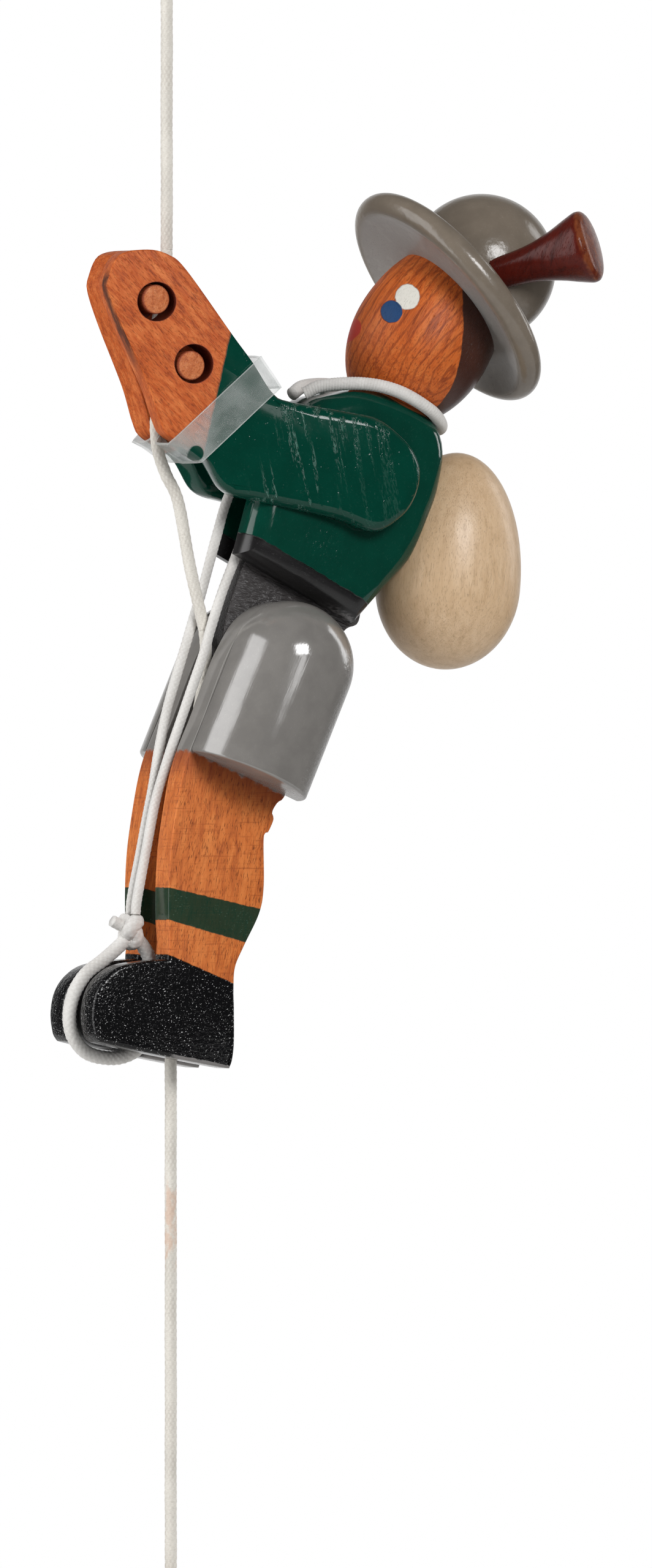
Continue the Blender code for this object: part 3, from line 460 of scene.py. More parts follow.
# Hanging ring and pull bead
# Both are turned from plain beech and waxed: the ring hangs on a hook or a finger, and the bead is what a
# hand pulls. The bead is drilled through for the cord, with eased holes.
RING_R = 13.5
RING_BAR_R = 2.5
BEAD_R = 8.0
BEAD_BORE_R = 1.55
BEAD_Z = CORD_LOWER_END_Z + 8.0
SMOOTH_ANGLE = math.radians(35)
WAXED_BEECH = ((0.5, 0.26, 0.11), (0.66, 0.4, 0.2), (0.74, 0.5, 0.28))


def select_only(piece):
    bpy.ops.object.select_all(action="DESELECT")
    piece.select_set(True)
    bpy.context.view_layer.objects.active = piece


def turned(name, profile, place, around=96, ring=False):
    """A piece turned on a lathe. The profile of (radius, height) pairs in millimetres is spun round its own Z
    axis, and the piece is set at its place. A ring's profile closes on itself clear of the axis."""
    mesh = bpy.data.meshes.new(name)
    count = len(profile)
    edges = [(k, (k + 1) % count) for k in range(count if ring else count - 1)]
    mesh.from_pydata([(radius * MM, 0.0, height * MM) for radius, height in profile], edges, [])
    piece = bpy.data.objects.new(name, mesh)
    bpy.context.collection.objects.link(piece)
    select_only(piece)
    bpy.ops.object.mode_set(mode="EDIT")
    bpy.ops.mesh.select_all(action="SELECT")
    bpy.ops.mesh.spin(steps=around, angle=2 * math.pi, center=(0, 0, 0), axis=(0, 0, 1))
    bpy.ops.mesh.select_all(action="SELECT")
    bpy.ops.mesh.remove_doubles(threshold=1e-6)
    bpy.ops.mesh.normals_make_consistent(inside=False)
    bpy.ops.object.mode_set(mode="OBJECT")
    bpy.ops.object.shade_smooth_by_angle(angle=SMOOTH_ANGLE)
    mesh.transform(place)
    return piece


def arc(centre_r, centre_h, radius, start, end, steps):
    """Points on an arc of a profile, between two angles in degrees."""
    angles = [math.radians(start + (end - start) * k / steps) for k in range(steps + 1)]
    return [(centre_r + radius * math.cos(angle), centre_h + radius * math.sin(angle)) for angle in angles]


def colour_steps(value, stops):
    """A colour that runs through the stops, each a place from 0 to 1 and a colour."""
    node = new_node("ShaderNodeValToRGB", value)
    elements = node.color_ramp.elements
    while len(elements) < len(stops):
        elements.new(0.5)
    for element, (place, colour) in zip(elements, stops):
        element.position = place
        element.color = (*colour, 1.0)
    connect(node.inputs[0], value)
    return node.outputs[0]


def bare_wood(name, colours, turn, along=18.0, pores=0.5, gloss=0.48, streaks=0.0):
    """Wood with long soft grain, short dark pores and blotches. Its grain runs along Y before it is turned.
    Returns the material, its shader and the colour, so that paint can be laid over it."""
    dark, middle, light = colours
    material, shader = plain_finish(name, middle, gloss, Specular_IOR_Level=0.28)
    long_grain = grain(material, (1.3, along, 1.3), turn, detail=7.0, roughness=0.62, distortion=0.25)
    fine_grain = grain(material, (0.32, 5.0, 0.32), turn, detail=3.0)
    pore_field = grain(material, (0.15, 1.2, 0.15), turn, detail=2.0, roughness=0.4)
    blotch = grain(material, (7.0, 9.0, 7.0), turn, detail=2.0)
    tone = colour_steps(long_grain, ((0.3, dark), (0.48, middle), (0.7, light)))
    tone = blend_colours(step_between(fine_grain, 0.4, 0.68, 0.0, 0.4), tone, light)
    tone = blend_colours(step_between(blotch, 0.35, 0.7, 0.0, 0.35), tone, middle)
    if streaks:
        streak = grain(material, (0.3, along * 0.8, 0.3), turn, detail=2.0)
        tone = blend_colours(step_between(streak, 0.56, 0.68, 0.0, streaks), tone,
                             tuple(value * 0.7 for value in dark))
    pore = step_between(pore_field, 0.6, 0.68)
    tone = blend_colours(times(pore, pores), tone, tuple(value * 0.45 for value in dark))
    connect(shader.inputs["Base Color"], tone)
    relief(shader, fine_grain, 0.00008, 0.5)
    relief(shader, times(pore, -1.0), 0.00006, 0.8)
    connect(shader.inputs["Roughness"], step_between(long_grain, 0.3, 0.7, gloss + 0.08, gloss - 0.06))
    return material, shader, tone


along_y = Matrix.Rotation(math.radians(90), 4, "X")
ring_profile = arc(RING_R, 0.0, RING_BAR_R, -180, 160, 17)
hanging_ring = turned("hanging_ring_turned", ring_profile,
                      Matrix.Translation((0, 0, (RING_BAR_R - RING_R) * MM)) @ along_y, ring=True)
bore_angle = math.degrees(math.asin((BEAD_BORE_R + 0.5) / BEAD_R))
bead_profile = ([(BEAD_BORE_R, -BEAD_R + 0.85), (BEAD_BORE_R + 0.2, -BEAD_R + 0.35)]
                + arc(0.0, 0.0, BEAD_R, -90 + bore_angle, 90 - bore_angle, 30)
                + [(BEAD_BORE_R + 0.2, BEAD_R - 0.35), (BEAD_BORE_R, BEAD_R - 0.85)])
pull_bead = turned("pull_bead_turned", bead_profile, Matrix.Translation((0, CORD_LOWER_Y * MM, BEAD_Z * MM)),
                   ring=True)
waxed_beech = bare_wood("waxed_beech", WAXED_BEECH, (90, 0, 0), gloss=0.35)[0]
for piece, node in ((hanging_ring, "hanging_ring"), (pull_bead, "pull_bead")):
    piece.data.materials.append(waxed_beech)
    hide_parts(node)
    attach(piece, "line")

# Torso
# One block of wood with rounded sides, slotted up the middle for the elastic and the pelvis board. It is
# brushed with dark green gloss paint up to a bare crescent at the neck, and its foot with dark grey.
TORSO_HALF = 10.25
TORSO_EDGE_R = 4.6
SLOT_HALF = 3.85
WAIST_H = 4.4
BACK_AND_CHEST = (from_place(HIP, [(23.1, 15.6)])
                  + from_place(SHOULDER, [(13.4, -17.8), (18.2, -7.8), (20.0, -1.5), (20.7, 3.6),
                                          (19.6, 8.2), (16.2, 12.0), (11.6, 14.4), (5.6, 16.1), (1.3, 16.4),
                                          (-3.5, 15.4), (-8.3, 13.8), (-14.4, 7.7), (-18.8, 0.9),
                                          (-22.4, -6.7)]))
TORSO_SIDE = (from_place(HIP, [(16.6, 8.8)]) + [(y, z) for x, y, z in curve_through(BACK_AND_CHEST, 1.9)]
              + from_place(HIP, [(-9.4, 22.8)]))
SLOT_SIDE = (from_place(SHOULDER, [(-38.4, 23.7), (-8.9, 23.7), (-8.9, 11.7), (-11.9, 2.7)])
             + from_place(HIP, [(1.2, 32.8), (20.3, 32.8), (23.7, 25.8), (23.7, -4.2), (-22.3, -4.2)]))
GREEN = (0.0006, 0.038, 0.024)
GREEN_FLECK = (0.08, 0.17, 0.14)
DARK_GREY = (0.009, 0.0085, 0.009)
GREY_SCUFF_AND_GLINT = (0.22, 0.21, 0.21)
SEAM_SHADE = (0.004, 0.004, 0.004)
NECK_TAN = (0.55, 0.2, 0.07)
ROUGH_CENTRE = (TORSO_HALF, 31.0, -151.5)
HEAD_PLACE = (SHOULDER[0] + 19.7, SHOULDER[1] + 26.8)


def filled_outline(name, rim, x):
    """A flat face with its rim of (x, y, z) places in millimetres, all moved to one x."""
    bpy.ops.object.select_all(action="DESELECT")
    bpy.ops.mesh.primitive_circle_add(vertices=len(rim), radius=0.01, fill_type="NGON")
    piece = bpy.context.object
    piece.name = name
    piece.data.name = name
    for vertex, place in zip(piece.data.vertices, rim):
        vertex.co = (x * MM, place[1] * MM, place[2] * MM)
    return piece


def apply_all(piece):
    select_only(piece)
    for modifier in list(piece.modifiers):
        bpy.ops.object.modifier_apply(modifier=modifier.name)


def board(name, outline, x_from, x_to, edge_r=0.0, round_r=0.0, step=0.8, smooth=True, eased_at=None,
          clamp=True):
    """A sawn board with its outline in the side view (y, z) and its thickness along X. Its rims are eased by
    edge_r, or rounded right over by round_r. eased_at(y, z) gives the share of edge_r that a place has."""
    rim = curve_through(outline, step, closed=True) if smooth else [(0, *point) for point in outline]
    piece = filled_outline(name, rim, x_from + round_r)
    bpy.ops.object.mode_set(mode="EDIT")
    bpy.ops.mesh.select_all(action="SELECT")
    bpy.ops.mesh.extrude_region_move(
        TRANSFORM_OT_translate={"value": ((x_to - x_from - 2 * round_r) * MM, 0, 0)})
    bpy.ops.mesh.select_all(action="SELECT")
    bpy.ops.mesh.normals_make_consistent(inside=False)
    if round_r:
        bpy.ops.mesh.select_mode(type="FACE")
        bpy.ops.mesh.select_all(action="DESELECT")
        edit = bmesh.from_edit_mesh(piece.data)
        for face in edit.faces:
            if abs(face.normal.x) > 0.9:
                face.select_set(True)
        bmesh.update_edit_mesh(piece.data)
        steps = 8
        for k in range(steps):
            before, after = (math.pi / 2 * number / steps for number in (k, k + 1))
            bpy.ops.mesh.inset(thickness=round_r * MM * (math.cos(before) - math.cos(after)),
                               depth=round_r * MM * (math.sin(after) - math.sin(before)))
        bpy.ops.mesh.select_mode(type="VERT")
    bpy.ops.object.mode_set(mode="OBJECT")
    if edge_r:
        bevel = piece.modifiers.new("eased", "BEVEL")
        bevel.width = edge_r * MM
        bevel.segments = 4
        bevel.use_clamp_overlap = clamp
        bevel.limit_method = "ANGLE"
        bevel.angle_limit = math.radians(50)
        if eased_at:
            bevel.limit_method = "WEIGHT"
            weights = piece.data.attributes.new("bevel_weight_edge", "FLOAT", "EDGE")
            for edge, weight in zip(piece.data.edges, weights.data):
                first, second = (piece.data.vertices[index].co / MM for index in edge.vertices)
                middle = (first + second) / 2
                weight.value = eased_at(middle.y, middle.z) if abs(first.x - second.x) < 0.01 else 0.0
        apply_all(piece)
    select_only(piece)
    bpy.ops.object.shade_smooth_by_angle(angle=SMOOTH_ANGLE)
    return piece


def cut(piece, cutter):
    """Take the cutter's shape out of the piece, and remove the cutter."""
    taken = piece.modifiers.new("cut", "BOOLEAN")
    taken.operation = "DIFFERENCE"
    taken.solver = "EXACT"
    taken.object = cutter
    apply_all(piece)
    bpy.data.objects.remove(cutter, do_unlink=True)
    select_only(piece)
    bpy.ops.object.shade_smooth_by_angle(angle=SMOOTH_ANGLE)


def vector_maths(operation, place, other):
    """The dot product of a place and a direction, or the distance between two places."""
    node = new_node("ShaderNodeVectorMath", place)
    node.operation = operation
    connect(node.inputs[0], place)
    node.inputs[1].default_value = other
    return node.outputs["Value"]


def reach(material, direction, point):
    """How far the surface lies beyond the point in the direction, in millimetres."""
    unit = Vector(direction).normalized()
    beyond_origin = vector_maths("DOT_PRODUCT", object_place(material), unit / MM)
    return maths("SUBTRACT", beyond_origin, unit.dot(Vector(point)))


def blend_values(factor, first, second):
    node = new_node("ShaderNodeMix", factor)
    for socket, value in zip((node.inputs[0], node.inputs[2], node.inputs[3]), (factor, first, second)):
        connect(socket, value)
    return node.outputs[0]


def paint_tone(material, colour, fleck_and_glint, turn=(0.0, 0.0, 0.0), flecks=0.5):
    """Gloss paint's colour: mottled, with pale specks where the brush dragged, which are also painted glints.
    """
    mottle = grain(material, (5.0, 5.0, 5.0), detail=3.0)
    speck = grain(material, (0.17, 0.6, 0.17), turn, detail=2.0)
    tone = blend_colours(step_between(mottle, 0.3, 0.7), colour, tuple(value * 1.15 for value in colour))
    dense = step_between(mottle, 0.45, 0.62, 0.1, flecks)
    tone = blend_colours(times(step_between(speck, 0.62, 0.72), dense), tone, fleck_and_glint)
    return tone


def brush_marks(material, turn):
    """The fine ridges that the brush left in the paint."""
    return grain(material, (0.35, 6.0, 0.35), turn, detail=4.0)


base_front, base_rear = (Vector((0, *point)) for point in from_place(HIP, [(-9.4, 22.8), (16.6, 8.8)]))
base_along = (base_rear - base_front).normalized()
base_up = Vector((0, -base_along.z, base_along.y))
torso_block = board("torso_block", TORSO_SIDE, -TORSO_HALF, TORSO_HALF, round_r=TORSO_EDGE_R, smooth=False)
cut(torso_block, board("slot_cutter", SLOT_SIDE, -SLOT_HALF, SLOT_HALF, smooth=False))

torso_paint, torso_shader = plain_finish("torso_paint", GREEN, 0.2, Specular_IOR_Level=0.45)
green_tone = paint_tone(torso_paint, GREEN, GREEN_FLECK, (62, 0, 0), 0.15)
grey_tone = paint_tone(torso_paint, DARK_GREY, GREY_SCUFF_AND_GLINT, (28, 0, 0), 0.25)
above_base = reach(torso_paint, base_up, base_front)
wander = grain(torso_paint, (2.5, 2.5, 2.5), detail=2.0)
above_seam = maths("ADD", above_base, step_between(wander, 0.2, 0.8, -0.15, 0.15))
is_green = step_between(above_seam, WAIST_H - 0.12, WAIST_H + 0.12)
# Painted shade: a dark line along the grey just under the green paint's raised edge, where the seam lies in
# shade.
painted_seam_shade = times(step_between(above_seam, WAIST_H - 0.55, WAIST_H - 0.2),
                 step_between(above_seam, WAIST_H - 0.05, WAIST_H + 0.2, 1.0, 0.0))
at_rear = step_between(reach(torso_paint, base_along, base_rear), -9, -3)
rear_scuff = times(at_rear, step_between(above_base, 1.2, 0.1),
                   step_between(grain(torso_paint, (1.2, 1.2, 0.5)), 0.45, 0.6, 0.0, 0.7))
grey_tone = blend_colours(rear_scuff, grey_tone, GREY_SCUFF_AND_GLINT)
torso_tone = blend_colours(is_green, grey_tone, green_tone)
neck_hollow = Vector((0, HEAD_PLACE[0] - 2.6, HEAD_PLACE[1] - 4.0)) * MM
from_neck = vector_maths("DISTANCE", object_place(torso_paint), neck_hollow)
bare_ring = step_between(from_neck, 0.0146, 0.0150, 1.0, 0.0)
torso_tone = blend_colours(bare_ring, torso_tone, NECK_TAN)
torso_tone = blend_colours(times(painted_seam_shade, 0.85), torso_tone, SEAM_SHADE)
connect(torso_shader.inputs["Base Color"], torso_tone)
connect(torso_shader.inputs["Roughness"], blend_values(is_green, 0.3, 0.1))
relief(torso_shader, brush_marks(torso_paint, (62, 0, 0)), 0.00002, 0.5)
relief(torso_shader, is_green, 0.00015, 1.0)
relief(torso_shader, grain(torso_paint, (6.0, 6.0, 6.0), detail=0.5), 0.0009, 0.35)
from_rough = vector_maths("DISTANCE", object_place(torso_paint), Vector(ROUGH_CENTRE) * MM)
rough_patch = step_between(from_rough, 0.009, 0.002)
relief(torso_shader, times(rough_patch, grain(torso_paint, (1.1, 1.1, 1.1), detail=2.0)), 0.0004, 0.6)
torso_block.data.materials.append(torso_paint)
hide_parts("torso", "left_waist_plate", "right_waist_plate")
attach(torso_block, "torso")

# Pelvis board
# A thinner board glued in the torso's slot, painted dark grey. Its rounded nose carries the hip axle between
# the two legs.
PELVIS_HALF = 3.7
PELVIS_SIDE = from_place(HIP, [(2.2, 30.3), (18.2, 30.3), (19.7, 25.8), (19.7, 10.2), (16.5, 7.4),
                               (11.7, 2.8), (9.0, -0.2), (7.9, -4.4), (4.3, -7.9), (0.0, -9.0), (-4.5, -7.8),
                               (-7.7, -4.6), (-9.4, -0.2), (-11.0, 3.2), (-11.4, 5.4), (-10.5, 10.4),
                               (-8.5, 16.1), (-5.9, 22.2), (-1.8, 27.3)])
PELVIS_GREY = (0.046, 0.042, 0.042)
pelvis = board("pelvis_board_sawn", PELVIS_SIDE, -PELVIS_HALF, PELVIS_HALF, edge_r=0.6)
pelvis_paint, pelvis_shader = plain_finish("pelvis_paint", PELVIS_GREY, 0.3)
# Its pale specks are partly painted glints on the brushed paint.
pelvis_tone = paint_tone(pelvis_paint, PELVIS_GREY, GREY_SCUFF_AND_GLINT, (-20, 0, 0), 0.5)
connect(pelvis_shader.inputs["Base Color"], pelvis_tone)
relief(pelvis_shader, grain(pelvis_paint, (0.6, 2.2, 0.45), (-20, 0, 0), detail=3.0), 0.0011, 0.7)
pelvis.data.materials.append(pelvis_paint)
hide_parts("pelvis_board")
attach(pelvis, "torso")

# Arms
# Two sawn boards, glued to the torso's sides and closing to a hand's width at the cord. The hands are bare
# orange-brown wood with two peg holes each, and the sleeves are painted green from the wrists on.
ARM_T = 6.5
ARM_YAW = 9.5
ARM_INNER_X = 2.5
ARM_ORIGIN_Y = GRIP[0] + 0.41
FAR_ARM_SHIFT_Y = 1.3
PEG_HOLE_D = 8.0
PEG_PLACES = ((GRIP[0] - 4.5, GRIP[1] + 6.85), (GRIP[0] + 2.75, GRIP[1] - 6.6))
HOLE_PLACES = ((PEG_PLACES[0][0] + 0.05, PEG_PLACES[0][1] - 0.45),
               (PEG_PLACES[1][0] + 0.55, PEG_PLACES[1][1] + 0.35))
HAND_TOP_SIDE = [(-11.5, 15.9), (-5.8, 17.0), (-1.3, 16.0), (2.5, 12.9), (12.1, -0.1), (16.3, -5.6)]
SHOULDER_SIDE = [(-19.2, 15.6), (-15.2, 13.7), (-2.0, 11.7), (3.4, 10.5), (7.5, 7.8), (10.8, 4.2),
                 (12.5, -0.5), (11.4, -5.8), (8.3, -10.0), (2.7, -12.8), (-6.0, -10.0)]
HAND_UNDER_SIDE = [(17.8, -34.3), (10.9, -32.0), (6.3, -25.3), (-1.1, -21.1), (-3.2, -17.9), (-5.8, -10.5),
                   (-11.5, 1.6), (-14.2, 8.5), (-14.0, 11.5)]
ARM_SIDE = HAND_TOP_SIDE + from_place((40.0, -27.6), SHOULDER_SIDE) + HAND_UNDER_SIDE
HAND_WOOD = ((0.24, 0.033, 0.004), (0.48, 0.085, 0.01), (0.7, 0.2, 0.05))
EDGE_BAND_DARK = (0.05, 0.014, 0.006)
CUFF_POINT = (0, 6.7, -120.1)
HAND_FRONT = (0.0, -0.92, -0.39)
WRINKLE_GLINT = (0.12, 0.26, 0.21)
HOLE_SHADE = (0.1, 0.012, 0.005)
CUFF_DARK = (0.02, 0.02, 0.01)


def peg_rod(name, radius, half_length, y, z, x=0.0):
    """A round rod along X with eased ends."""
    bpy.ops.object.select_all(action="DESELECT")
    bpy.ops.mesh.primitive_cylinder_add(vertices=64, radius=radius * MM, depth=2 * half_length * MM)
    rod = bpy.context.object
    rod.name = name
    rod.data.name = name
    bevel = rod.modifiers.new("eased", "BEVEL")
    bevel.width = 0.25 * MM
    bevel.segments = 3
    bevel.limit_method = "ANGLE"
    bevel.angle_limit = math.radians(50)
    apply_all(rod)
    bpy.ops.object.shade_smooth_by_angle(angle=SMOOTH_ANGLE)
    rod.data.transform(Matrix.Translation((x * MM, y * MM, z * MM)) @ Matrix.Rotation(math.pi / 2, 4, "Y"))
    return rod


def fill_grain(material, painted, left):
    """Where the wood is painted, let only the given part of its grain show as relief."""
    for bump in [node for node in material.node_tree.nodes if node.type == "BUMP"]:
        strength = bump.inputs["Strength"]
        connect(strength, blend_values(painted, strength.default_value, strength.default_value * left))


def hypotenuse(first, second):
    """How far a place is, from how far it is along two directions square to each other."""
    return maths("SQRT", maths("ADD", times(first, first), times(second, second)))


def off_rod(material, y, z):
    """How far the surface is from a line along X, in millimetres."""
    return hypotenuse(reach(material, (0, 1, 0), (0, y, 0)), reach(material, (0, 0, 1), (0, 0, z)))


arm_finish, arm_shader, hand_tone = bare_wood("arm_finish", HAND_WOOD, (-46, 0, 0), along=6.0, pores=0.3,
                                              gloss=0.55, streaks=0.5)
# The sleeve's pale specks are partly painted glints on the gloss paint.
sleeve_tone = paint_tone(arm_finish, GREEN, GREEN_FLECK, (-33, 0, 0), 0.12)
wrinkle = grain(arm_finish, (0.35, 0.35, 1.2), (14, 0, 0), detail=2.0)
wrinkle_run = step_between(grain(arm_finish, (1.7, 1.7, 26.0), (10, 0, 0), detail=1.0, distortion=0.3), 0.54,
                           0.62)
along_sleeve = reach(arm_finish, (0, 1, -0.45), (0, 17, -127))
mid_arm = times(step_between(along_sleeve, 0, 8), step_between(along_sleeve, 10, 22, 1.0, 0.15))
wrinkled = times(wrinkle_run, mid_arm, step_between(wrinkle, 0.45, 0.62))
# The wrinkles are painted paler as a glint on their ridges; their relief is added below.
sleeve_tone = blend_colours(times(wrinkled, 0.6), sleeve_tone, WRINKLE_GLINT)
behind_cuff = maths("ADD", reach(arm_finish, (0, 0.975, -0.22), CUFF_POINT),
                    step_between(grain(arm_finish, (1.8, 1.8, 1.8)), 0.2, 0.8, -0.1, 0.1))
is_sleeve = step_between(behind_cuff, -0.08, 0.1)
cuff_line = step_between(behind_cuff, -0.4, -0.05)
# A dark band down the front edge of the near hand, over part of its length.
dark_band_patch = step_between(grain(arm_finish, (1.6, 1.6, 5.0), (24, 0, 0)), 0.25, 0.55, 0.25, 1.0)
dark_band_length = times(step_between(reach(arm_finish, (0, 0, 1), (0, 0, -119)), 0, 10),
                    step_between(reach(arm_finish, (0, 0, -1), (0, 0, -94.5)), 0, 3))
surface_turn = arm_finish.node_tree.nodes.new("ShaderNodeNewGeometry").outputs["True Normal"]
on_front_edge = step_between(vector_maths("DOT_PRODUCT", surface_turn, HAND_FRONT), 0.35, 0.7)
near_board = step_between(reach(arm_finish, (1, 0, 0), (2.4, 0, 0)), 0, 1.2)
dark_edge_band = times(on_front_edge, near_board, dark_band_patch, dark_band_length)
hand_tone = blend_colours(times(dark_edge_band, 0.9), hand_tone, EDGE_BAND_DARK)
# Painted shade inside the peg holes, in the gap round the pegs.
for y, z in HOLE_PLACES:
    painted_hole_shade = step_between(off_rod(arm_finish, y, z), 3.95, 4.2, 1.0, 0.0)
    hand_tone = blend_colours(painted_hole_shade, hand_tone, HOLE_SHADE)
hand_tone = blend_colours(times(cuff_line, 0.6), hand_tone, CUFF_DARK)
connect(arm_shader.inputs["Base Color"], blend_colours(is_sleeve, hand_tone, sleeve_tone))
connect(arm_shader.inputs["Roughness"], blend_values(is_sleeve, 0.55, 0.08))
fill_grain(arm_finish, is_sleeve, 0.03)
relief(arm_shader, times(wrinkled, is_sleeve), 0.0002, 1.0)
pimples = step_between(grain(arm_finish, (1.0, 1.0, 1.0), detail=1.0), 0.68, 0.8)
relief(arm_shader, times(pimples, is_sleeve), 0.00006, 0.7)
relief(arm_shader, times(grain(arm_finish, (4.5, 4.5, 4.5), detail=0.5), is_sleeve), 0.0001, 0.3)
relief(arm_shader, is_sleeve, 0.00015, 1.0)
for arm_name, node, side, shift_y in (("near_arm_board", "left_arm", 1, 0.0),
                                      ("far_arm_board", "right_arm", -1, FAR_ARM_SHIFT_Y)):
    ends = (0.0, ARM_T) if side > 0 else (-ARM_T, 0.0)
    arm = board(arm_name, ARM_SIDE, *ends, edge_r=2.6, step=1.0,
                eased_at=lambda y, z: 0.14 + 0.86 * min(1.0, max(0.0, (y * 0.82 - z * 0.57 - 20.0) / 14.0)),
                clamp=False)
    arm_place = Vector((side * ARM_INNER_X, ARM_ORIGIN_Y + shift_y, GRIP[1])) * MM
    arm_turn = Matrix.Rotation(math.radians(-ARM_YAW * side), 4, "Z")
    arm.data.transform(Matrix.Translation(arm_place) @ arm_turn)
    if side > 0:
        for y, z in HOLE_PLACES:
            cut(arm, peg_rod("hole_cutter", PEG_HOLE_D / 2, 15.0, y, z, 14.0))
    arm.data.materials.append(arm_finish)
    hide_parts(node)
    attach(arm, "torso")

# Grip pegs
# Two short lengths of 6 mm dowel, driven tight through the far hand and loose in the near one. The cord runs
# round the back of one and the front of the other.
PEG_D = 6.0
PEG_ENDS = (8.2, 9.6)
PEG_WOOD = ((0.34, 0.07, 0.02), (0.55, 0.15, 0.045), (0.68, 0.25, 0.1))
PEG_SIDE_SHADE = (0.16, 0.02, 0.008)
peg_wood, peg_shader, peg_tone = bare_wood("peg_wood", PEG_WOOD, (0, 0, 90), along=6.0, pores=0.3)
rings_seen = grain(peg_wood, (4.0, 0.8, 0.8), detail=3.0)
peg_tone = blend_colours(step_between(rings_seen, 0.5, 0.65, 0.0, 0.4), peg_tone, PEG_WOOD[0])
# Painted shade on each peg's side and the rim of its ends, where it sits in the holes and between the hands.
for y, z in PEG_PLACES:
    out = off_rod(peg_wood, y, z)
    painted_peg_shade = times(step_between(out, 2.55, 2.95, 0.0, 0.8), step_between(out, 3.2, 3.4, 1.0, 0.0))
    peg_tone = blend_colours(painted_peg_shade, peg_tone, PEG_SIDE_SHADE)
connect(peg_shader.inputs["Base Color"], peg_tone)
relief(peg_shader, grain(peg_wood, (4.0, 0.5, 0.5), detail=3.0), 0.0003, 0.7)
for peg_name, node, (y, z), half in (("upper_peg_dowel", "upper_grip_peg", PEG_PLACES[0], PEG_ENDS[0]),
                                     ("lower_peg_dowel", "lower_grip_peg", PEG_PLACES[1], PEG_ENDS[1])):
    peg = peg_rod(peg_name, PEG_D / 2, half, y, z)
    peg.data.materials.append(peg_wood)
    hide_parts(node)
    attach(peg, "torso")

# Wrist band
# A soft clear plastic sleeve stretched over both wrists. It has gone milky, its upper end has a fold, and
# there is green paint on its lower edge.
BAND_W = 7.5
BAND_WALL = 0.5
BAND_ORIGIN = (GRIP[0] + 7.0, GRIP[1] - 13.8)
BAND_UP = Vector((0, 0.735, 0.678)).normalized()
BAND_START = [(12.6, 12.3), (12.0, 13.2), (6.0, 13.6), (0.0, 13.9), (-6.0, 14.1), (-12.0, 14.2),
              (-12.6, 13.2), (-11.2, 1.0), (-9.7, -10.8), (-9.0, -11.6), (-5.5, -12.2), (-2.9, -12.0),
              (-1.5, -10.8), (0.0, -9.1), (1.5, -11.0), (2.9, -12.5), (5.5, -12.9), (9.1, -12.9),
              (9.8, -12.0), (11.2, 0.0)]
BAND_END = [(13.4, 11.0), (12.8, 12.0), (6.4, 12.2), (0.0, 12.5), (-6.4, 12.8), (-12.8, 12.9), (-13.4, 12.0),
            (-12.3, 2.0), (-11.2, -8.4), (-10.4, -9.3), (-6.0, -9.9), (-2.9, -10.1), (-1.5, -10.2),
            (0.0, -10.2), (1.5, -10.3), (2.9, -10.3), (6.0, -10.3), (10.4, -10.2), (11.2, -9.4), (12.3, 1.0)]
BAND_AROUND = 140
BAND_RINGS = 9
MILKY = (0.5, 0.54, 0.52)
MILKY_RIM = (0.62, 0.65, 0.63)
PAINT_BLOB = (0, 1.6, -132.6)


def dab(at, centre, across, up, half_across, half_up, soft=0.1, wave=None):
    """A brush dab's mask: 1 inside an oval in the plane of two directions, with a wavering edge."""
    offsets = []
    for direction, half in ((across, half_across), (up, half_up)):
        reached = vector_maths("DOT_PRODUCT", at, direction / half)
        offsets.append(maths("SUBTRACT", reached, direction.dot(centre) / half))
    distance = hypotenuse(*offsets)
    if wave:
        distance = maths("ADD", distance, wave)
    return step_between(distance, 1.0 - soft, 1.0 + soft, 1.0, 0.0)


def closed_loop(points, count):
    """Evenly counted places on a smooth closed curve through (x, height) pairs."""
    path = curve_through([(x, 0.0, height) for x, height in points], 0.2, closed=True)
    return path[np.linspace(0, len(path) - 1, count, endpoint=False).astype(int)]


band_along = Vector((0, BAND_UP.z, -BAND_UP.y))
starts = closed_loop(BAND_START, BAND_AROUND)
ends = closed_loop(BAND_END, BAND_AROUND)
band_points = []
for k in range(BAND_RINGS):
    share = k / (BAND_RINGS - 1)
    for start, end in zip(starts, ends):
        x = start[0] * (1 - share) + end[0] * share
        up = start[2] * (1 - share) + end[2] * share
        ripple = 0.07 * math.sin(x * 0.9 + share * 3) * math.sin(up * 0.5 + share * 2)
        point = (Vector((x, BAND_ORIGIN[0], BAND_ORIGIN[1])) + BAND_UP * (up + ripple)
                 + band_along * BAND_W * share)
        point.x += ripple * (1 if x > 0 else -1)
        band_points.append(tuple(point * MM))
band_faces = [(k * BAND_AROUND + i, k * BAND_AROUND + (i + 1) % BAND_AROUND,
               (k + 1) * BAND_AROUND + (i + 1) % BAND_AROUND, (k + 1) * BAND_AROUND + i)
              for k in range(BAND_RINGS - 1) for i in range(BAND_AROUND)]
band_mesh = bpy.data.meshes.new("clear_band_sleeve")
band_mesh.from_pydata(band_points, [], band_faces)
band = bpy.data.objects.new("clear_band_sleeve", band_mesh)
bpy.context.collection.objects.link(band)
select_only(band)
bpy.ops.object.mode_set(mode="EDIT")
bpy.ops.mesh.select_all(action="SELECT")
bpy.ops.mesh.normals_make_consistent(inside=False)
bpy.ops.object.mode_set(mode="OBJECT")
wall = band.modifiers.new("wall", "SOLIDIFY")
wall.thickness = BAND_WALL * MM
wall.offset = 0.0
apply_all(band)
bpy.ops.object.shade_smooth_by_angle(angle=math.radians(40))
milky, band_shader = plain_finish("milky_plastic", MILKY, 0.14, Specular_IOR_Level=0.6)
film = grain(milky, (6.0, 6.0, 6.0), detail=2.0)
low_down = step_between(reach(milky, -BAND_UP, (0, 2.0, -125.0)), -2, 8, 0.0, 0.22)
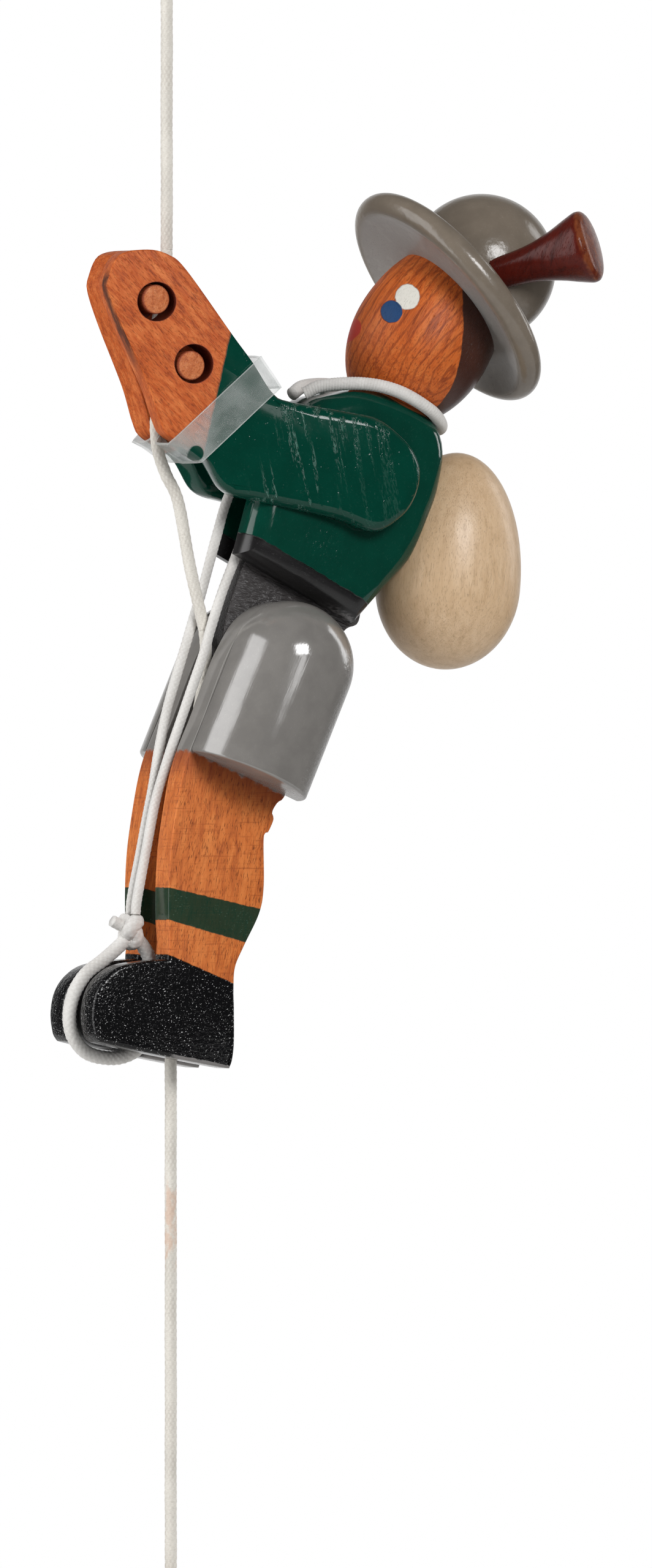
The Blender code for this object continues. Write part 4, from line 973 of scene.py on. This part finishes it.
from_start = reach(milky, band_along, (0, *BAND_ORIGIN))
rims = maths("MAXIMUM", step_between(from_start, 0.22, 0.05),
             step_between(from_start, BAND_W - 0.2, BAND_W - 0.05))
clearness = maths("ADD", step_between(film, 0.3, 0.7, 0.12, 0.24), low_down)
clearness = blend_values(rims, clearness, 0.5)
blob = times(dab(object_place(milky), Vector(PAINT_BLOB) * MM, Vector((0, 1, 0)), Vector((0, 0, 1)),
                 1.5 * MM, 1.6 * MM, 0.1), step_between(reach(milky, (1, 0, 0), (3, 0, 0)), 0, 1))
connect(band_shader.inputs["Base Color"], blend_colours(blob, blend_colours(rims, MILKY, MILKY_RIM), GREEN))
connect(band_shader.inputs["Alpha"], maths("MAXIMUM", clearness, blob))
relief(band_shader, film, 0.0006, 0.2)
band.data.materials.append(milky)
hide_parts("wrist_band")
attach(band, "torso")

# Head
# A turned egg of the same orange-brown wood, leaning forward on its neck dowel. The hair is one brush of dark
# brown round the back, and the eyes and mouth are single dabs of paint.
HEAD_FORWARD = 0.6
HEAD_R = 14.4
HEAD_UP = 22.0
HEAD_DOWN = 19.0
HEAD_TILT = 33.5
FACE_TURN = -12.8
HEAD_WOOD = ((0.2, 0.03, 0.005), (0.51, 0.1, 0.013), (0.62, 0.17, 0.035))
HAIR_BROWN = (0.05, 0.018, 0.012)
HAIR_FLECK = (0.2, 0.08, 0.04)
EYE_WHITE = (0.68, 0.66, 0.6)
EYE_BLUE = (0.009, 0.05, 0.15)
MOUTH_RED = (0.42, 0.03, 0.016)
WHITE_DAB = (8.14, 50.41, -100.38)
BLUE_DAB = (6.96, 47.37, -103.38)
GROWTH_CENTRE = (14.5, 56.5, -118.0)
GROWTH_SIZE = (3.0, 2.6, 6.5)


def tilted(y, z, degrees):
    """A place in the side view, in metres, with its own Z axis leaning back by the angle."""
    return Matrix.Translation((0, y * MM, z * MM)) @ Matrix.Rotation(math.radians(-degrees), 4, "X")


def egg(radius, up, down, steps=26):
    """Half of an egg's outline, from its foot to its top: widest at height 0."""
    outline = []
    for k in range(2 * steps + 1):
        angle = -math.pi / 2 + math.pi * k / (2 * steps)
        outline.append((max(0.0, radius * math.cos(angle)), (up if angle > 0 else down) * math.sin(angle)))
    return outline


def own_place(material, place, mirror_x=False):
    """The point in a piece's own turned frame, in millimetres, as separate X, Y and Z and as one vector."""
    nodes = material.node_tree.nodes
    split = nodes.new("ShaderNodeSeparateXYZ")
    connect(split.inputs[0], turned_space(material, place.translation, place.to_euler(), (MM, MM, MM)))
    x, y, z = split.outputs
    if mirror_x:
        x = maths("ABSOLUTE", x)
    joined = nodes.new("ShaderNodeCombineXYZ")
    for socket, value in zip(joined.inputs, (x, y, z)):
        connect(socket, value)
    return x, y, z, joined.outputs[0]


head_place = tilted(HEAD_PLACE[0] - HEAD_FORWARD, HEAD_PLACE[1], HEAD_TILT)
head_piece = turned("turned_head", egg(HEAD_R, HEAD_UP, HEAD_DOWN), head_place, 128)
face_place = head_place @ Matrix.Rotation(math.radians(FACE_TURN), 4, "Z")
head_finish, head_shader, head_tone = bare_wood("head_finish", HEAD_WOOD, (56.5, 0, 0), along=14.0,
                                                pores=0.3, gloss=0.36, streaks=0.55)
side_x, front_y, up_z, on_face = own_place(head_finish, face_place, mirror_x=True)
growth = head_finish.node_tree.nodes.new("ShaderNodeTexWave")
growth.wave_type = "RINGS"
growth.rings_direction = "SPHERICAL"
growth_space = turned_space(head_finish, Vector(GROWTH_CENTRE) * MM, (math.radians(-HEAD_TILT), 0, 0),
                            Vector(GROWTH_SIZE) * MM)
connect(growth.inputs["Vector"], growth_space)
for name, value in (("Scale", 0.5), ("Distortion", 3.5), ("Detail", 4.0), ("Detail Scale", 1.6)):
    growth.inputs[name].default_value = value
growth_line = step_between(growth.outputs["Fac"], 0.24, 0.0, 0.0, 0.55)
head_tone = blend_colours(growth_line, head_tone, HEAD_WOOD[0])
turn = times(maths("ARCTAN2", side_x, times(front_y, -1)), 180 / math.pi)
hair_reach = maths("ADD", turn, times(up_z, 2.33))
hair_wave = step_between(grain(head_finish, (3.0, 3.0, 3.0), detail=2.0), 0.2, 0.8, -0.8, 0.8)
is_hair = step_between(maths("ADD", hair_reach, hair_wave), 113.6, 115.2)
hair_tone = paint_tone(head_finish, HAIR_BROWN, HAIR_FLECK, (56, 0, 0), 0.25)
head_tone = blend_colours(is_hair, head_tone, hair_tone)
into_face = face_place.inverted()
seen_across = into_face.to_3x3() @ Vector((math.cos(VIEW_TURN), math.sin(VIEW_TURN), 0.0))
seen_up = into_face.to_3x3() @ Vector((0.0, 0.0, 1.0))
dab_wave = step_between(grain(head_finish, (1.2, 1.2, 1.2), detail=1.0), 0.2, 0.8, -0.03, 0.03)
white_centre = (into_face @ (Vector(WHITE_DAB) * MM)) / MM
blue_centre = (into_face @ (Vector(BLUE_DAB) * MM)) / MM
on_front = step_between(front_y, -0.5, -1.5)
for centre, halves, colour in ((white_centre, (2.5, 2.63), EYE_WHITE), (blue_centre, (2.2, 2.3), EYE_BLUE)):
    mask = dab(on_face, centre, seen_across, seen_up, *halves, 0.05, dab_wave)
    head_tone = blend_colours(times(mask, on_front), head_tone, colour)
    relief(head_shader, mask, 0.00025, 0.8)
mouth = dab(on_face, Vector((0, 0, -6.6)), Vector((1, 0, 0)), Vector((0, 0, 1)), 5.0, 2.4, 0.06, dab_wave)
head_tone = blend_colours(times(mouth, on_front), head_tone, MOUTH_RED)
connect(head_shader.inputs["Base Color"], head_tone)
connect(head_shader.inputs["Roughness"], blend_values(is_hair, 0.5, 0.3))
head_piece.data.materials.append(head_finish)
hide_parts("head")
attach(head_piece, "torso")

# Hat
# Turned from one piece with a rolled rim and a ball crown, pressed over the head, and painted taupe. The
# underside of the brim is scuffed, and paler with a painted reflection of the white backdrop.
HAT_PLACE = (HEAD_PLACE[0] + 5.3, HEAD_PLACE[1] + 8.8)
HAT_TILT = 52.2
BRIM_R = 26.1
RIM_R = 2.7
BRIM_T = 2.6
CROWN_R = 15.2
CROWN_CENTRE_UP = 9.7
TAUPE = (0.16, 0.132, 0.103)
BRIM_UNDER_REFLECTION = (0.27, 0.255, 0.24)
HAT_FLECK = (0.34, 0.3, 0.26)
SCUFF_DARK = (0.13, 0.12, 0.11)
WORN_PALE = (0.4, 0.38, 0.36)
rim_centre = BRIM_R - RIM_R
hat_profile = [(0.0, -BRIM_T / 2), (rim_centre - 8.0, -BRIM_T / 2 + 0.1),
               (rim_centre - 4.5, -BRIM_T / 2 - 0.1)]
hat_profile += arc(rim_centre, 0.0, RIM_R, -118, 118, 22)
hat_profile += [(rim_centre - 3.4, BRIM_T / 2 + 0.15), (rim_centre - 5.2, BRIM_T / 2),
                (CROWN_R + 1.6, BRIM_T / 2)]
hat_profile += arc(0.0, CROWN_CENTRE_UP, CROWN_R, -31, 90, 40)
hat_profile[-1] = (0.0, CROWN_CENTRE_UP + CROWN_R)
hat_place = tilted(*HAT_PLACE, HAT_TILT)
hat_piece = turned("turned_hat", hat_profile, hat_place, 160)
hat_paint, hat_shader = plain_finish("hat_paint", TAUPE, 0.24)
hat_tone = paint_tone(hat_paint, TAUPE, HAT_FLECK, (0, 0, 0), 0.3)
hat_x, hat_y, hat_z = own_place(hat_paint, hat_place)[:3]
from_axis = hypotenuse(hat_x, hat_y)
# The underside's paler grey is a painted reflection of the white backdrop; its scuffs and worn patches are
# its own.
is_under = times(step_between(hat_z, -0.6, -1.1), step_between(from_axis, 24.5, 22.0))
scuffs = step_between(grain(hat_paint, (0.35, 4.0, 0.35), (70, 20, 0), detail=4.0), 0.58, 0.68, 0.0, 0.5)
under_tone = blend_colours(scuffs, BRIM_UNDER_REFLECTION, SCUFF_DARK)
worn = step_between(grain(hat_paint, (2.5, 2.5, 2.5), detail=5.0), 0.5, 0.66, 0.0, 0.2)
under_tone = blend_colours(worn, under_tone, WORN_PALE)
hat_tone = blend_colours(is_under, hat_tone, under_tone)
connect(hat_shader.inputs["Base Color"], hat_tone)
connect(hat_shader.inputs["Roughness"], blend_values(is_under, 0.22, 0.36))
relief(hat_shader, grain(hat_paint, (1.2, 1.2, 1.2), detail=2.0), 0.00012, 0.5)
hat_piece.data.materials.append(hat_paint)
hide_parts("hat")
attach(hat_piece, "torso")

# Tuft on the hat
# A turned peg that flares like a shaving brush, glued in a hole in the side of the crown. It is stained and
# varnished dark red-brown, and its end shows the wood through the varnish.
TUFT_L = 21.0
TUFT_ROOT_R = 3.3
TUFT_END_R = 7.5
TUFT_SINK = 1.24
TUFT_POINTS = (0.592, 0.75, 0.28)
TUFT_SEAT = (0.966, -0.231, -0.113)
TUFT_FLARE = [(0.0, 0.0), (0.06, 0.24), (0.19, 0.43), (0.45, 0.62), (0.77, 0.79), (0.97, 0.9), (1.0, 0.945),
              (0.93, 0.985), (0.6, 1.02)]
TUFT_STAIN = ((0.035, 0.0045, 0.003), (0.075, 0.0085, 0.0055), (0.1, 0.012, 0.007))
TUFT_END_WOOD = (0.3, 0.09, 0.03)


def pointing(point, direction):
    """A place at a point in metres whose own Z axis points in the direction."""
    turn = Vector((0, 0, 1)).rotation_difference(Vector(direction))
    return Matrix.Translation(point) @ turn.to_matrix().to_4x4()


crown_centre = hat_place @ Vector((0, 0, CROWN_CENTRE_UP * MM))
tuft_root = crown_centre + Vector(TUFT_SEAT).normalized() * (CROWN_R - TUFT_SINK) * MM
tuft_place = pointing(tuft_root, TUFT_POINTS)
flare = curve_through([(0.0, TUFT_ROOT_R + (TUFT_END_R - TUFT_ROOT_R) * out, TUFT_L * up) for out,
                       up in TUFT_FLARE] + [(0.0, 2.4, TUFT_L * 1.04)], 0.35)
tuft_profile = [(0.0, 0.0)] + [(point[1], point[2]) for point in flare] + [(0.0, TUFT_L * 1.045)]
tuft = turned("turned_tuft", tuft_profile, tuft_place, 96)
tuft_paint, tuft_shader, tuft_tone = bare_wood("tuft_varnish", TUFT_STAIN, (70, 0, -38), along=12.0,
                                               pores=0.12, gloss=0.2)
tuft_z = own_place(tuft_paint, tuft_place)[2]
at_end = step_between(tuft_z, TUFT_L * 0.93, TUFT_L * 0.97, 0.0, 0.5)
patchy = step_between(grain(tuft_paint, (1.6, 1.6, 1.6), detail=4.0), 0.35, 0.65, 0.2, 1.0)
tuft_tone = blend_colours(times(at_end, patchy), tuft_tone, TUFT_END_WOOD)
connect(tuft_shader.inputs["Base Color"], tuft_tone)
tuft_shader.inputs["Specular IOR Level"].default_value = 0.18
tuft.data.materials.append(tuft_paint)
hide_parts("hat_tuft")
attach(tuft, "torso")

# Backpack
# A turned egg of pale unpainted wood, big end down, with a satin varnish. A hidden dowel holds it on the
# torso's back.
PACK_PLACE = (SHOULDER[0] + 25.5, SHOULDER[1] - 18.6)
PACK_H = 44.6
PACK_R = 14.85
PACK_WIDEST_BELOW = 5.0
PACK_TILT = 6.0
PALE_WOOD = ((0.5, 0.33, 0.185), (0.61, 0.42, 0.25), (0.68, 0.49, 0.31))
pack_place = tilted(*PACK_PLACE, PACK_TILT) @ Matrix.Translation((0, 0, -PACK_WIDEST_BELOW * MM))
pack = turned("turned_pack", egg(PACK_R, PACK_H / 2 + PACK_WIDEST_BELOW, PACK_H / 2 - PACK_WIDEST_BELOW),
              pack_place, 128)
pale_wood, pale_shader = bare_wood("pale_wood", PALE_WOOD, (84, 0, 0), along=5.0, pores=0.22, gloss=0.42)[:2]
pale_shader.inputs["Coat Weight"].default_value = 0.5
pale_shader.inputs["Coat Roughness"].default_value = 0.33
pack.data.materials.append(pale_wood)
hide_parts("backpack")
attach(pack, "torso")
for hidden in ("neck_dowel", "backpack_dowel", "hip_axle"):
    frame["nodes"][hidden].data.materials.clear()
    frame["nodes"][hidden].data.materials.append(pale_wood)

# Elastic round the neck and down the slot
# One white covered elastic: round the neck, its two strands down through the slot in the torso, past the hip
# board and between the legs to the knot at the feet. It bends the figure again after each pull.
NECK_LOOP_D = 2.75
ELASTIC_D = 2.1
STRAND_X = 2.6
STRAND_BEND_X = 1.9
STRAND_FEET_X = 1.3
ELASTIC_WHITE = (0.7, 0.685, 0.66)
ELASTIC_SHADE_AND_FIBRE = (0.5, 0.47, 0.44)
COVER_PITCH = 1.15 * MM
COVER_YARNS = 6


def covered_elastic(diameter):
    """The surface of elastic with a plaited cotton cover, on a slightly uneven round."""
    def surface(turn, run):
        left = COVER_YARNS * turn + run / COVER_PITCH
        right = COVER_YARNS * turn - run / COVER_PITCH
        lump = np.abs(np.cos(np.pi * left) * np.cos(np.pi * right)) ** 0.6
        uneven = 0.02 * np.sin(run / (2.3 * MM)) + 0.02 * np.cos(2 * np.pi * turn + run / (4.0 * MM))
        return diameter * MM / 2 * (0.9 + 0.12 * lump + uneven)
    return surface


def wound_elastic(diameter):
    """The surface of stretched elastic, where the cover shows as close slanting ribs."""
    def surface(turn, run):
        rib = np.abs(np.cos(np.pi * (run / (0.6 * MM) + turn * 2)))
        uneven = 0.015 * np.sin(run / (2.3 * MM))
        return diameter * MM / 2 * (0.93 + 0.07 * rib + uneven)
    return surface


elastic_cover = textile("elastic_cover", ELASTIC_WHITE, ELASTIC_SHADE_AND_FIBRE)
half_loop = [(2.9, -8.8, 15.5), (4.6, -5.4, 17.1), (8.6, 2.1, 17.5), (10.5, 9.0, 15.9), (10.3, 16.1, 12.2),
             (5.4, 20.8, 9.4)]
loop_points = ([(-x, y, z) for x, y, z in half_loop] + [(0.0, 22.4, 8.4)] + half_loop[::-1])
neck_path = curve_through(from_place(SHOULDER, loop_points), 0.18) * MM
near_in_slot = [(28.6, -14.5), (24.6, -24.9), (20.2, -34.9), (16.8, -43.4), (13.2, -51.9), (10.5, -59.5),
                (8.5, -65.8), (4.4, -76.8), (1.3, -85.9)]
far_in_slot = [(28.6, -14.5), (22.6, -22.9), (16.8, -32.9), (13.8, -41.9), (10.8, -52.2), (7.9, -60.9),
               (3.4, -74.9), (0.9, -84.0)]
to_feet = [(-1.4, -94.9), (-3.5, -104.9), (-5.6, -114.9), (-6.0, -118.5)]
neck_loop = textile_tube("elastic_round_neck", neck_path, wound_elastic(NECK_LOOP_D), around=24)
neck_loop.data.materials.append(elastic_cover)
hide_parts("elastic_neck_loop")
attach(neck_loop, "torso")
for name, node, side, in_slot in (("near_elastic_strand", "elastic_strand_left", 1, near_in_slot),
                                  ("far_elastic_strand", "elastic_strand_right", -1, far_in_slot)):
    route = [(side * STRAND_X, y, z) for y, z in in_slot[:-1]] + [(side * STRAND_BEND_X, *in_slot[-1])]
    route += [(side * STRAND_FEET_X, y, z) for y, z in to_feet]
    strand = textile_tube(name, curve_through(from_place(GRIP, route), 0.18) * MM,
                          covered_elastic(ELASTIC_D), around=26)
    strand.data.materials.append(elastic_cover)
    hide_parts(node)
    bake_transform(strand)

# Legs
# Two sawn boards on the hip axle, each with trousers, calf and shoe in one outline. They are bare wood with
# grey paint at the hip, a green sock band and a black shoe, whose sole is pale at the rear with a painted
# reflection.
LEG_INNER_X = 4.0
LEG_OUTER_X = 10.9
LEG_TOP_R = 13.0
THIGH_TILT = 23.5
THIGH_BELOW_HIP = 24.7
LEG_WOOD = ((0.3, 0.055, 0.01), (0.56, 0.14, 0.025), (0.72, 0.23, 0.055))
THIGH_SHADOW_WOOD = (0.2, 0.035, 0.01)
MID_GREY = (0.18, 0.171, 0.16)
SOCK_GREEN = (0.0005, 0.034, 0.021)
SHOE_BLACK = (0.004, 0.004, 0.0045)
SOLE_REFLECTION_GREY = (0.2, 0.19, 0.185)
GREY_FLECK = (0.4, 0.38, 0.36)
SOCK_FLECK = (0.14, 0.25, 0.2)
SHOE_FLECK = (0.16, 0.155, 0.15)
SHOE_GLINT = (0.6, 0.6, 0.6)
SOCK_TOP = ((0, -0.21, -0.978), (0, -4.4, -221.1))
SOCK_FOOT = ((0, 0.26, 0.965), (0, -4.4, -227.7))
SHOE_TOP = ((0, -0.38, -0.925), (0, 4.2, -238.3))
SOLE_TOP = ((0, -0.19, -0.98), (0, -3.9, -254.95))
SOLE_FRONT = ((0, 1, 0), (0, -3.5, 0))
top_arc = [(HIP[0] + LEG_TOP_R * math.cos(math.radians(150 - 10 * k)),
            HIP[1] + LEG_TOP_R * math.sin(math.radians(150 - 10 * k))) for k in range(18)]
LEG_SIDE = (top_arc + from_place(HIP, [(8.5, -10.7), (2.9, -20.2)])
            + from_place(SOLE, [(23.1, 55.5), (21.6, 54.3), (20.4, 52.4), (20.7, 50.9), (19.5, 48.3),
                                (18.5, 47.1), (18.5, 37.5), (17.5, 31.8), (14.0, 24.8), (12.2, 20.7),
                                (11.9, 16.2), (12.0, 12.1), (12.0, 5.6), (11.6, 2.0), (10.9, 0.35),
                                (9.5, 0.3), (-3.9, 2.7), (-16.6, 5.2), (-18.8, 6.2), (-19.6, 8.6),
                                (-19.8, 11.8), (-19.0, 15.6), (-16.9, 18.7), (-13.4, 21.0), (-8.0, 22.0),
                                (-3.3, 22.4), (-3.0, 22.5), (-3.0, 22.9), (-2.7, 26.1), (-2.9, 30.1),
                                (-2.9, 37.1), (-2.4, 45.1), (-1.0, 54.1)])
            + from_place(HIP, [(-23.6, -22.0), (-22.05, -17.3), (-19.1, -10.6), (-16.2, -3.5),
                               (-13.9, 1.8)]))
leg_finish, leg_shader, leg_tone = bare_wood("leg_finish", LEG_WOOD, (80, 0, 0), along=7.0, pores=0.75,
                                             streaks=0.3)
saw_marks = grain(leg_finish, (9.0, 9.0, 0.35), detail=2.0)
leg_tone = blend_colours(step_between(saw_marks, 0.58, 0.7, 0.0, 0.45), leg_tone, LEG_WOOD[0])
thigh_down = Vector((0, -math.sin(math.radians(THIGH_TILT)), -math.cos(math.radians(THIGH_TILT))))
ragged = step_between(grain(leg_finish, (1.4, 1.4, 1.4), detail=3.0), 0.2, 0.8, -0.5, 0.5)


def painted_above(direction, point, soft, ragged_share=1.0):
    """Where the leg is painted: beyond a point in the direction, with a ragged edge."""
    at = maths("ADD", reach(leg_finish, direction, point), times(ragged, ragged_share))
    return step_between(at, -soft, soft)


grey_tone = paint_tone(leg_finish, MID_GREY, GREY_FLECK, (66, 0, 0), 0.3)
hip_point = Vector((0, *HIP)) + thigh_down * THIGH_BELOW_HIP
# Painted shadow: the wood darkens for a few millimetres below the thigh, where the thigh's shadow falls.
painted_thigh_shadow = step_between(reach(leg_finish, thigh_down, hip_point), -0.5, 7.5, 0.75, 0.0)
leg_tone = blend_colours(painted_thigh_shadow, leg_tone, THIGH_SHADOW_WOOD)
is_hip_paint = painted_above(-thigh_down, hip_point, 0.5)
leg_tone = blend_colours(is_hip_paint, leg_tone, grey_tone)
sock_tone = paint_tone(leg_finish, SOCK_GREEN, SOCK_FLECK, (10, 0, 0), 0.35)
is_sock = times(painted_above(*SOCK_TOP, 0.12, 0.2), painted_above(*SOCK_FOOT, 0.12, 0.2))
leg_tone = blend_colours(times(is_sock, 0.96), leg_tone, sock_tone)
shoe_tone = paint_tone(leg_finish, SHOE_BLACK, SHOE_FLECK, (80, 0, 0), 0.2)
# Painted glints: pale specks on the black shoe paint stand for light caught by its rough surface.
dense = step_between(grain(leg_finish, (3.0, 3.0, 3.0), detail=2.0), 0.35, 0.6, 0.25, 1.0)
shoe_glints = times(dense, step_between(grain(leg_finish, (0.26, 0.45, 0.26), (30, 0, 0), detail=2.0), 0.64,
                                    0.69))
shoe_tone = blend_colours(shoe_glints, shoe_tone, SHOE_GLINT)
is_shoe = painted_above(*SHOE_TOP, 0.12, 0.2)
leg_tone = blend_colours(is_shoe, leg_tone, shoe_tone)
# Painted reflection: the rear of the sole's underside is pale grey where the glossy black shows the white
# backdrop.
sole_reflection = times(painted_above(*SOLE_TOP, 0.1, 0.3), painted_above(*SOLE_FRONT, 1.0))
leg_tone = blend_colours(sole_reflection, leg_tone, SOLE_REFLECTION_GREY)
connect(leg_shader.inputs["Base Color"], leg_tone)
any_paint = maths("MAXIMUM", is_hip_paint, maths("MAXIMUM", is_sock, is_shoe))
connect(leg_shader.inputs["Roughness"], blend_values(any_paint, 0.55, 0.14))
fill_grain(leg_finish, any_paint, 0.1)
relief(leg_shader, any_paint, 0.00012, 1.0)
relief(leg_shader, times(is_shoe, grain(leg_finish, (0.7, 1.0, 0.7), detail=2.0)), 0.0003, 0.5)
for leg_name, node, x_from in (("near_leg_board", "left_leg", LEG_INNER_X),
                               ("far_leg_board", "right_leg", -LEG_OUTER_X)):
    leg = board(leg_name, LEG_SIDE, x_from, x_from + LEG_OUTER_X - LEG_INNER_X, edge_r=0.9, step=0.6,
                eased_at=lambda y, z: 0.4 + 0.6 * min(1.0, max(0.0, (SOLE[1] + 32.0 - z) / 12.0)),
                clamp=False)
    leg.data.materials.append(leg_finish)
    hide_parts(node)
    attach(leg, "legs")

# Thighs
# A turned cylinder with a ball end, sawn in two and glued to the outer faces of the legs, painted mid grey.
THIGH_R = 13.2
THIGH_FLAT_X = 11.2
THIGH_FLECK = (0.36, 0.34, 0.32)
thigh_grey, thigh_shader = plain_finish("thigh_grey", MID_GREY, 0.14, Specular_IOR_Level=0.9, IOR=1.6)
thigh_tone = paint_tone(thigh_grey, MID_GREY, THIGH_FLECK, (66, 0, 0), 0.25)
connect(thigh_shader.inputs["Base Color"], thigh_tone)
relief(thigh_shader, brush_marks(thigh_grey, (66, 0, 0)), 0.00004, 0.5)
relief(thigh_shader, grain(thigh_grey, (6.0, 6.0, 12.0), (-23, 0, 0), detail=1.0), 0.0006, 0.3)
pitted_side = step_between(reach(thigh_grey, (-0.26, 0.97, -0.42), (0, *HIP)), 0.0, 4.0)
relief(thigh_shader, times(pitted_side, grain(thigh_grey, (0.6, 0.6, 0.6), detail=3.0)), 0.0004, 0.5)
thigh_profile = ([(0.0, -THIGH_BELOW_HIP), (THIGH_R - 0.6, -THIGH_BELOW_HIP)]
                 + arc(THIGH_R - 0.6, -THIGH_BELOW_HIP + 0.6, 0.6, -60, 0, 3)
                 + arc(0.0, 0.0, THIGH_R, 0, 90, 24))
thigh_profile[-1] = (0.0, THIGH_R)
for thigh_name, node, side in (("near_thigh_half", "left_thigh", 1), ("far_thigh_half", "right_thigh", -1)):
    thigh = turned(thigh_name, thigh_profile,
                   Matrix.Translation((side * THIGH_FLAT_X * MM, 0, 0)) @ tilted(*HIP, THIGH_TILT), 128)
    select_only(thigh)
    bpy.ops.object.mode_set(mode="EDIT")
    bpy.ops.mesh.select_all(action="SELECT")
    bpy.ops.mesh.bisect(plane_co=(side * THIGH_FLAT_X * MM, 0, 0), plane_no=(side, 0, 0), use_fill=True,
                        clear_inner=True)
    bpy.ops.mesh.select_all(action="SELECT")
    bpy.ops.mesh.normals_make_consistent(inside=False)
    bpy.ops.object.mode_set(mode="OBJECT")
    bpy.ops.object.shade_smooth_by_angle(angle=SMOOTH_ANGLE)
    thigh.data.materials.append(thigh_grey)
    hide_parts(node)
    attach(thigh, "legs")

# Toe spacer, and the elastic round it
# A small block glued between the toes and painted black. The elastic is looped round it and drawn up in a
# knot above the shoes.
SPACER_SIDE = from_place(SOLE, [(-10.4, 18.5), (-14.9, 17.6), (-17.6, 14.6), (-18.6, 10.6), (-17.4, 6.6),
                                (-14.9, 4.7), (-10.4, 4.2), (-6.8, 4.8), (-5.4, 7.1), (-5.4, 15.1),
                                (-7.4, 17.9)])
FOOT_LOOP = from_place(SOLE, [(-6.6, 27.4), (-9.4, 24.8), (-12.7, 22.2), (-16.2, 19.7),
                              (-18.4, 16.9), (-19.6, 14.2), (-20.15, 11.5), (-20.1, 8.9),
                              (-19.2, 6.2), (-16.5, 3.4), (-12.6, 2.3), (-8.5, 2.4),
                              (-4.9, 4.2), (-3.2, 8.0), (-2.2, 13.1), (-1.8, 19.0),
                              (-2.4, 22.8), (-4.2, 25.6), (-6.2, 27.4)])
FOOT_LOOP_D = 2.9
ELASTIC_KNOT_D = 3.3
STUB_D = 2.4
SPACER_FLECK = (0.12, 0.12, 0.12)
ELASTIC_KNOT = (SOLE[0] - 6.5, SOLE[1] + 28.3)
STUB = from_place(ELASTIC_KNOT, [(0.0, 0.5, 0.2), (0.2, -2.2, 0.9), (0.4, -4.3, 1.9)])
spacer = board("toe_spacer_block", SPACER_SIDE, -PELVIS_HALF, PELVIS_HALF, edge_r=0.8)
shoe_black, black_shader = plain_finish("shoe_black", SHOE_BLACK, 0.35)
black_tone = paint_tone(shoe_black, SHOE_BLACK, SPACER_FLECK, (80, 0, 0), 0.5)
connect(black_shader.inputs["Base Color"], black_tone)
relief(black_shader, brush_marks(shoe_black, (80, 0, 0)), 0.0003, 0.6)
spacer.data.materials.append(shoe_black)
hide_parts("toe_spacer")
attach(spacer, "legs")
foot_loop = textile_tube("elastic_round_toes", curve_through(FOOT_LOOP, 0.18) * MM,
                         covered_elastic(FOOT_LOOP_D), around=24)
foot_loop.data.materials.append(elastic_cover)
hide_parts("elastic_foot_loop")
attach(foot_loop, "legs")
angle = once_round(160)
knot_path = np.column_stack([0.6 * (np.sin(angle) + 2 * np.sin(2 * angle)),
                             ELASTIC_KNOT[0] - 0.9 * np.sin(3 * angle),
                             ELASTIC_KNOT[1] + 0.85 * (np.cos(angle) - 2 * np.cos(2 * angle))]) * MM
elastic_knot = textile_tube("knot_over_toes", knot_path, covered_elastic(ELASTIC_KNOT_D), around=26,
                            closed=True)
stub = textile_tube("knot_stub", curve_through(STUB, 0.18) * MM, covered_elastic(STUB_D), around=22)
select_only(elastic_knot)
stub.select_set(True)
bpy.ops.object.join()
elastic_knot.data.materials.append(elastic_cover)
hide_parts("elastic_knot")
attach(elastic_knot, "legs")
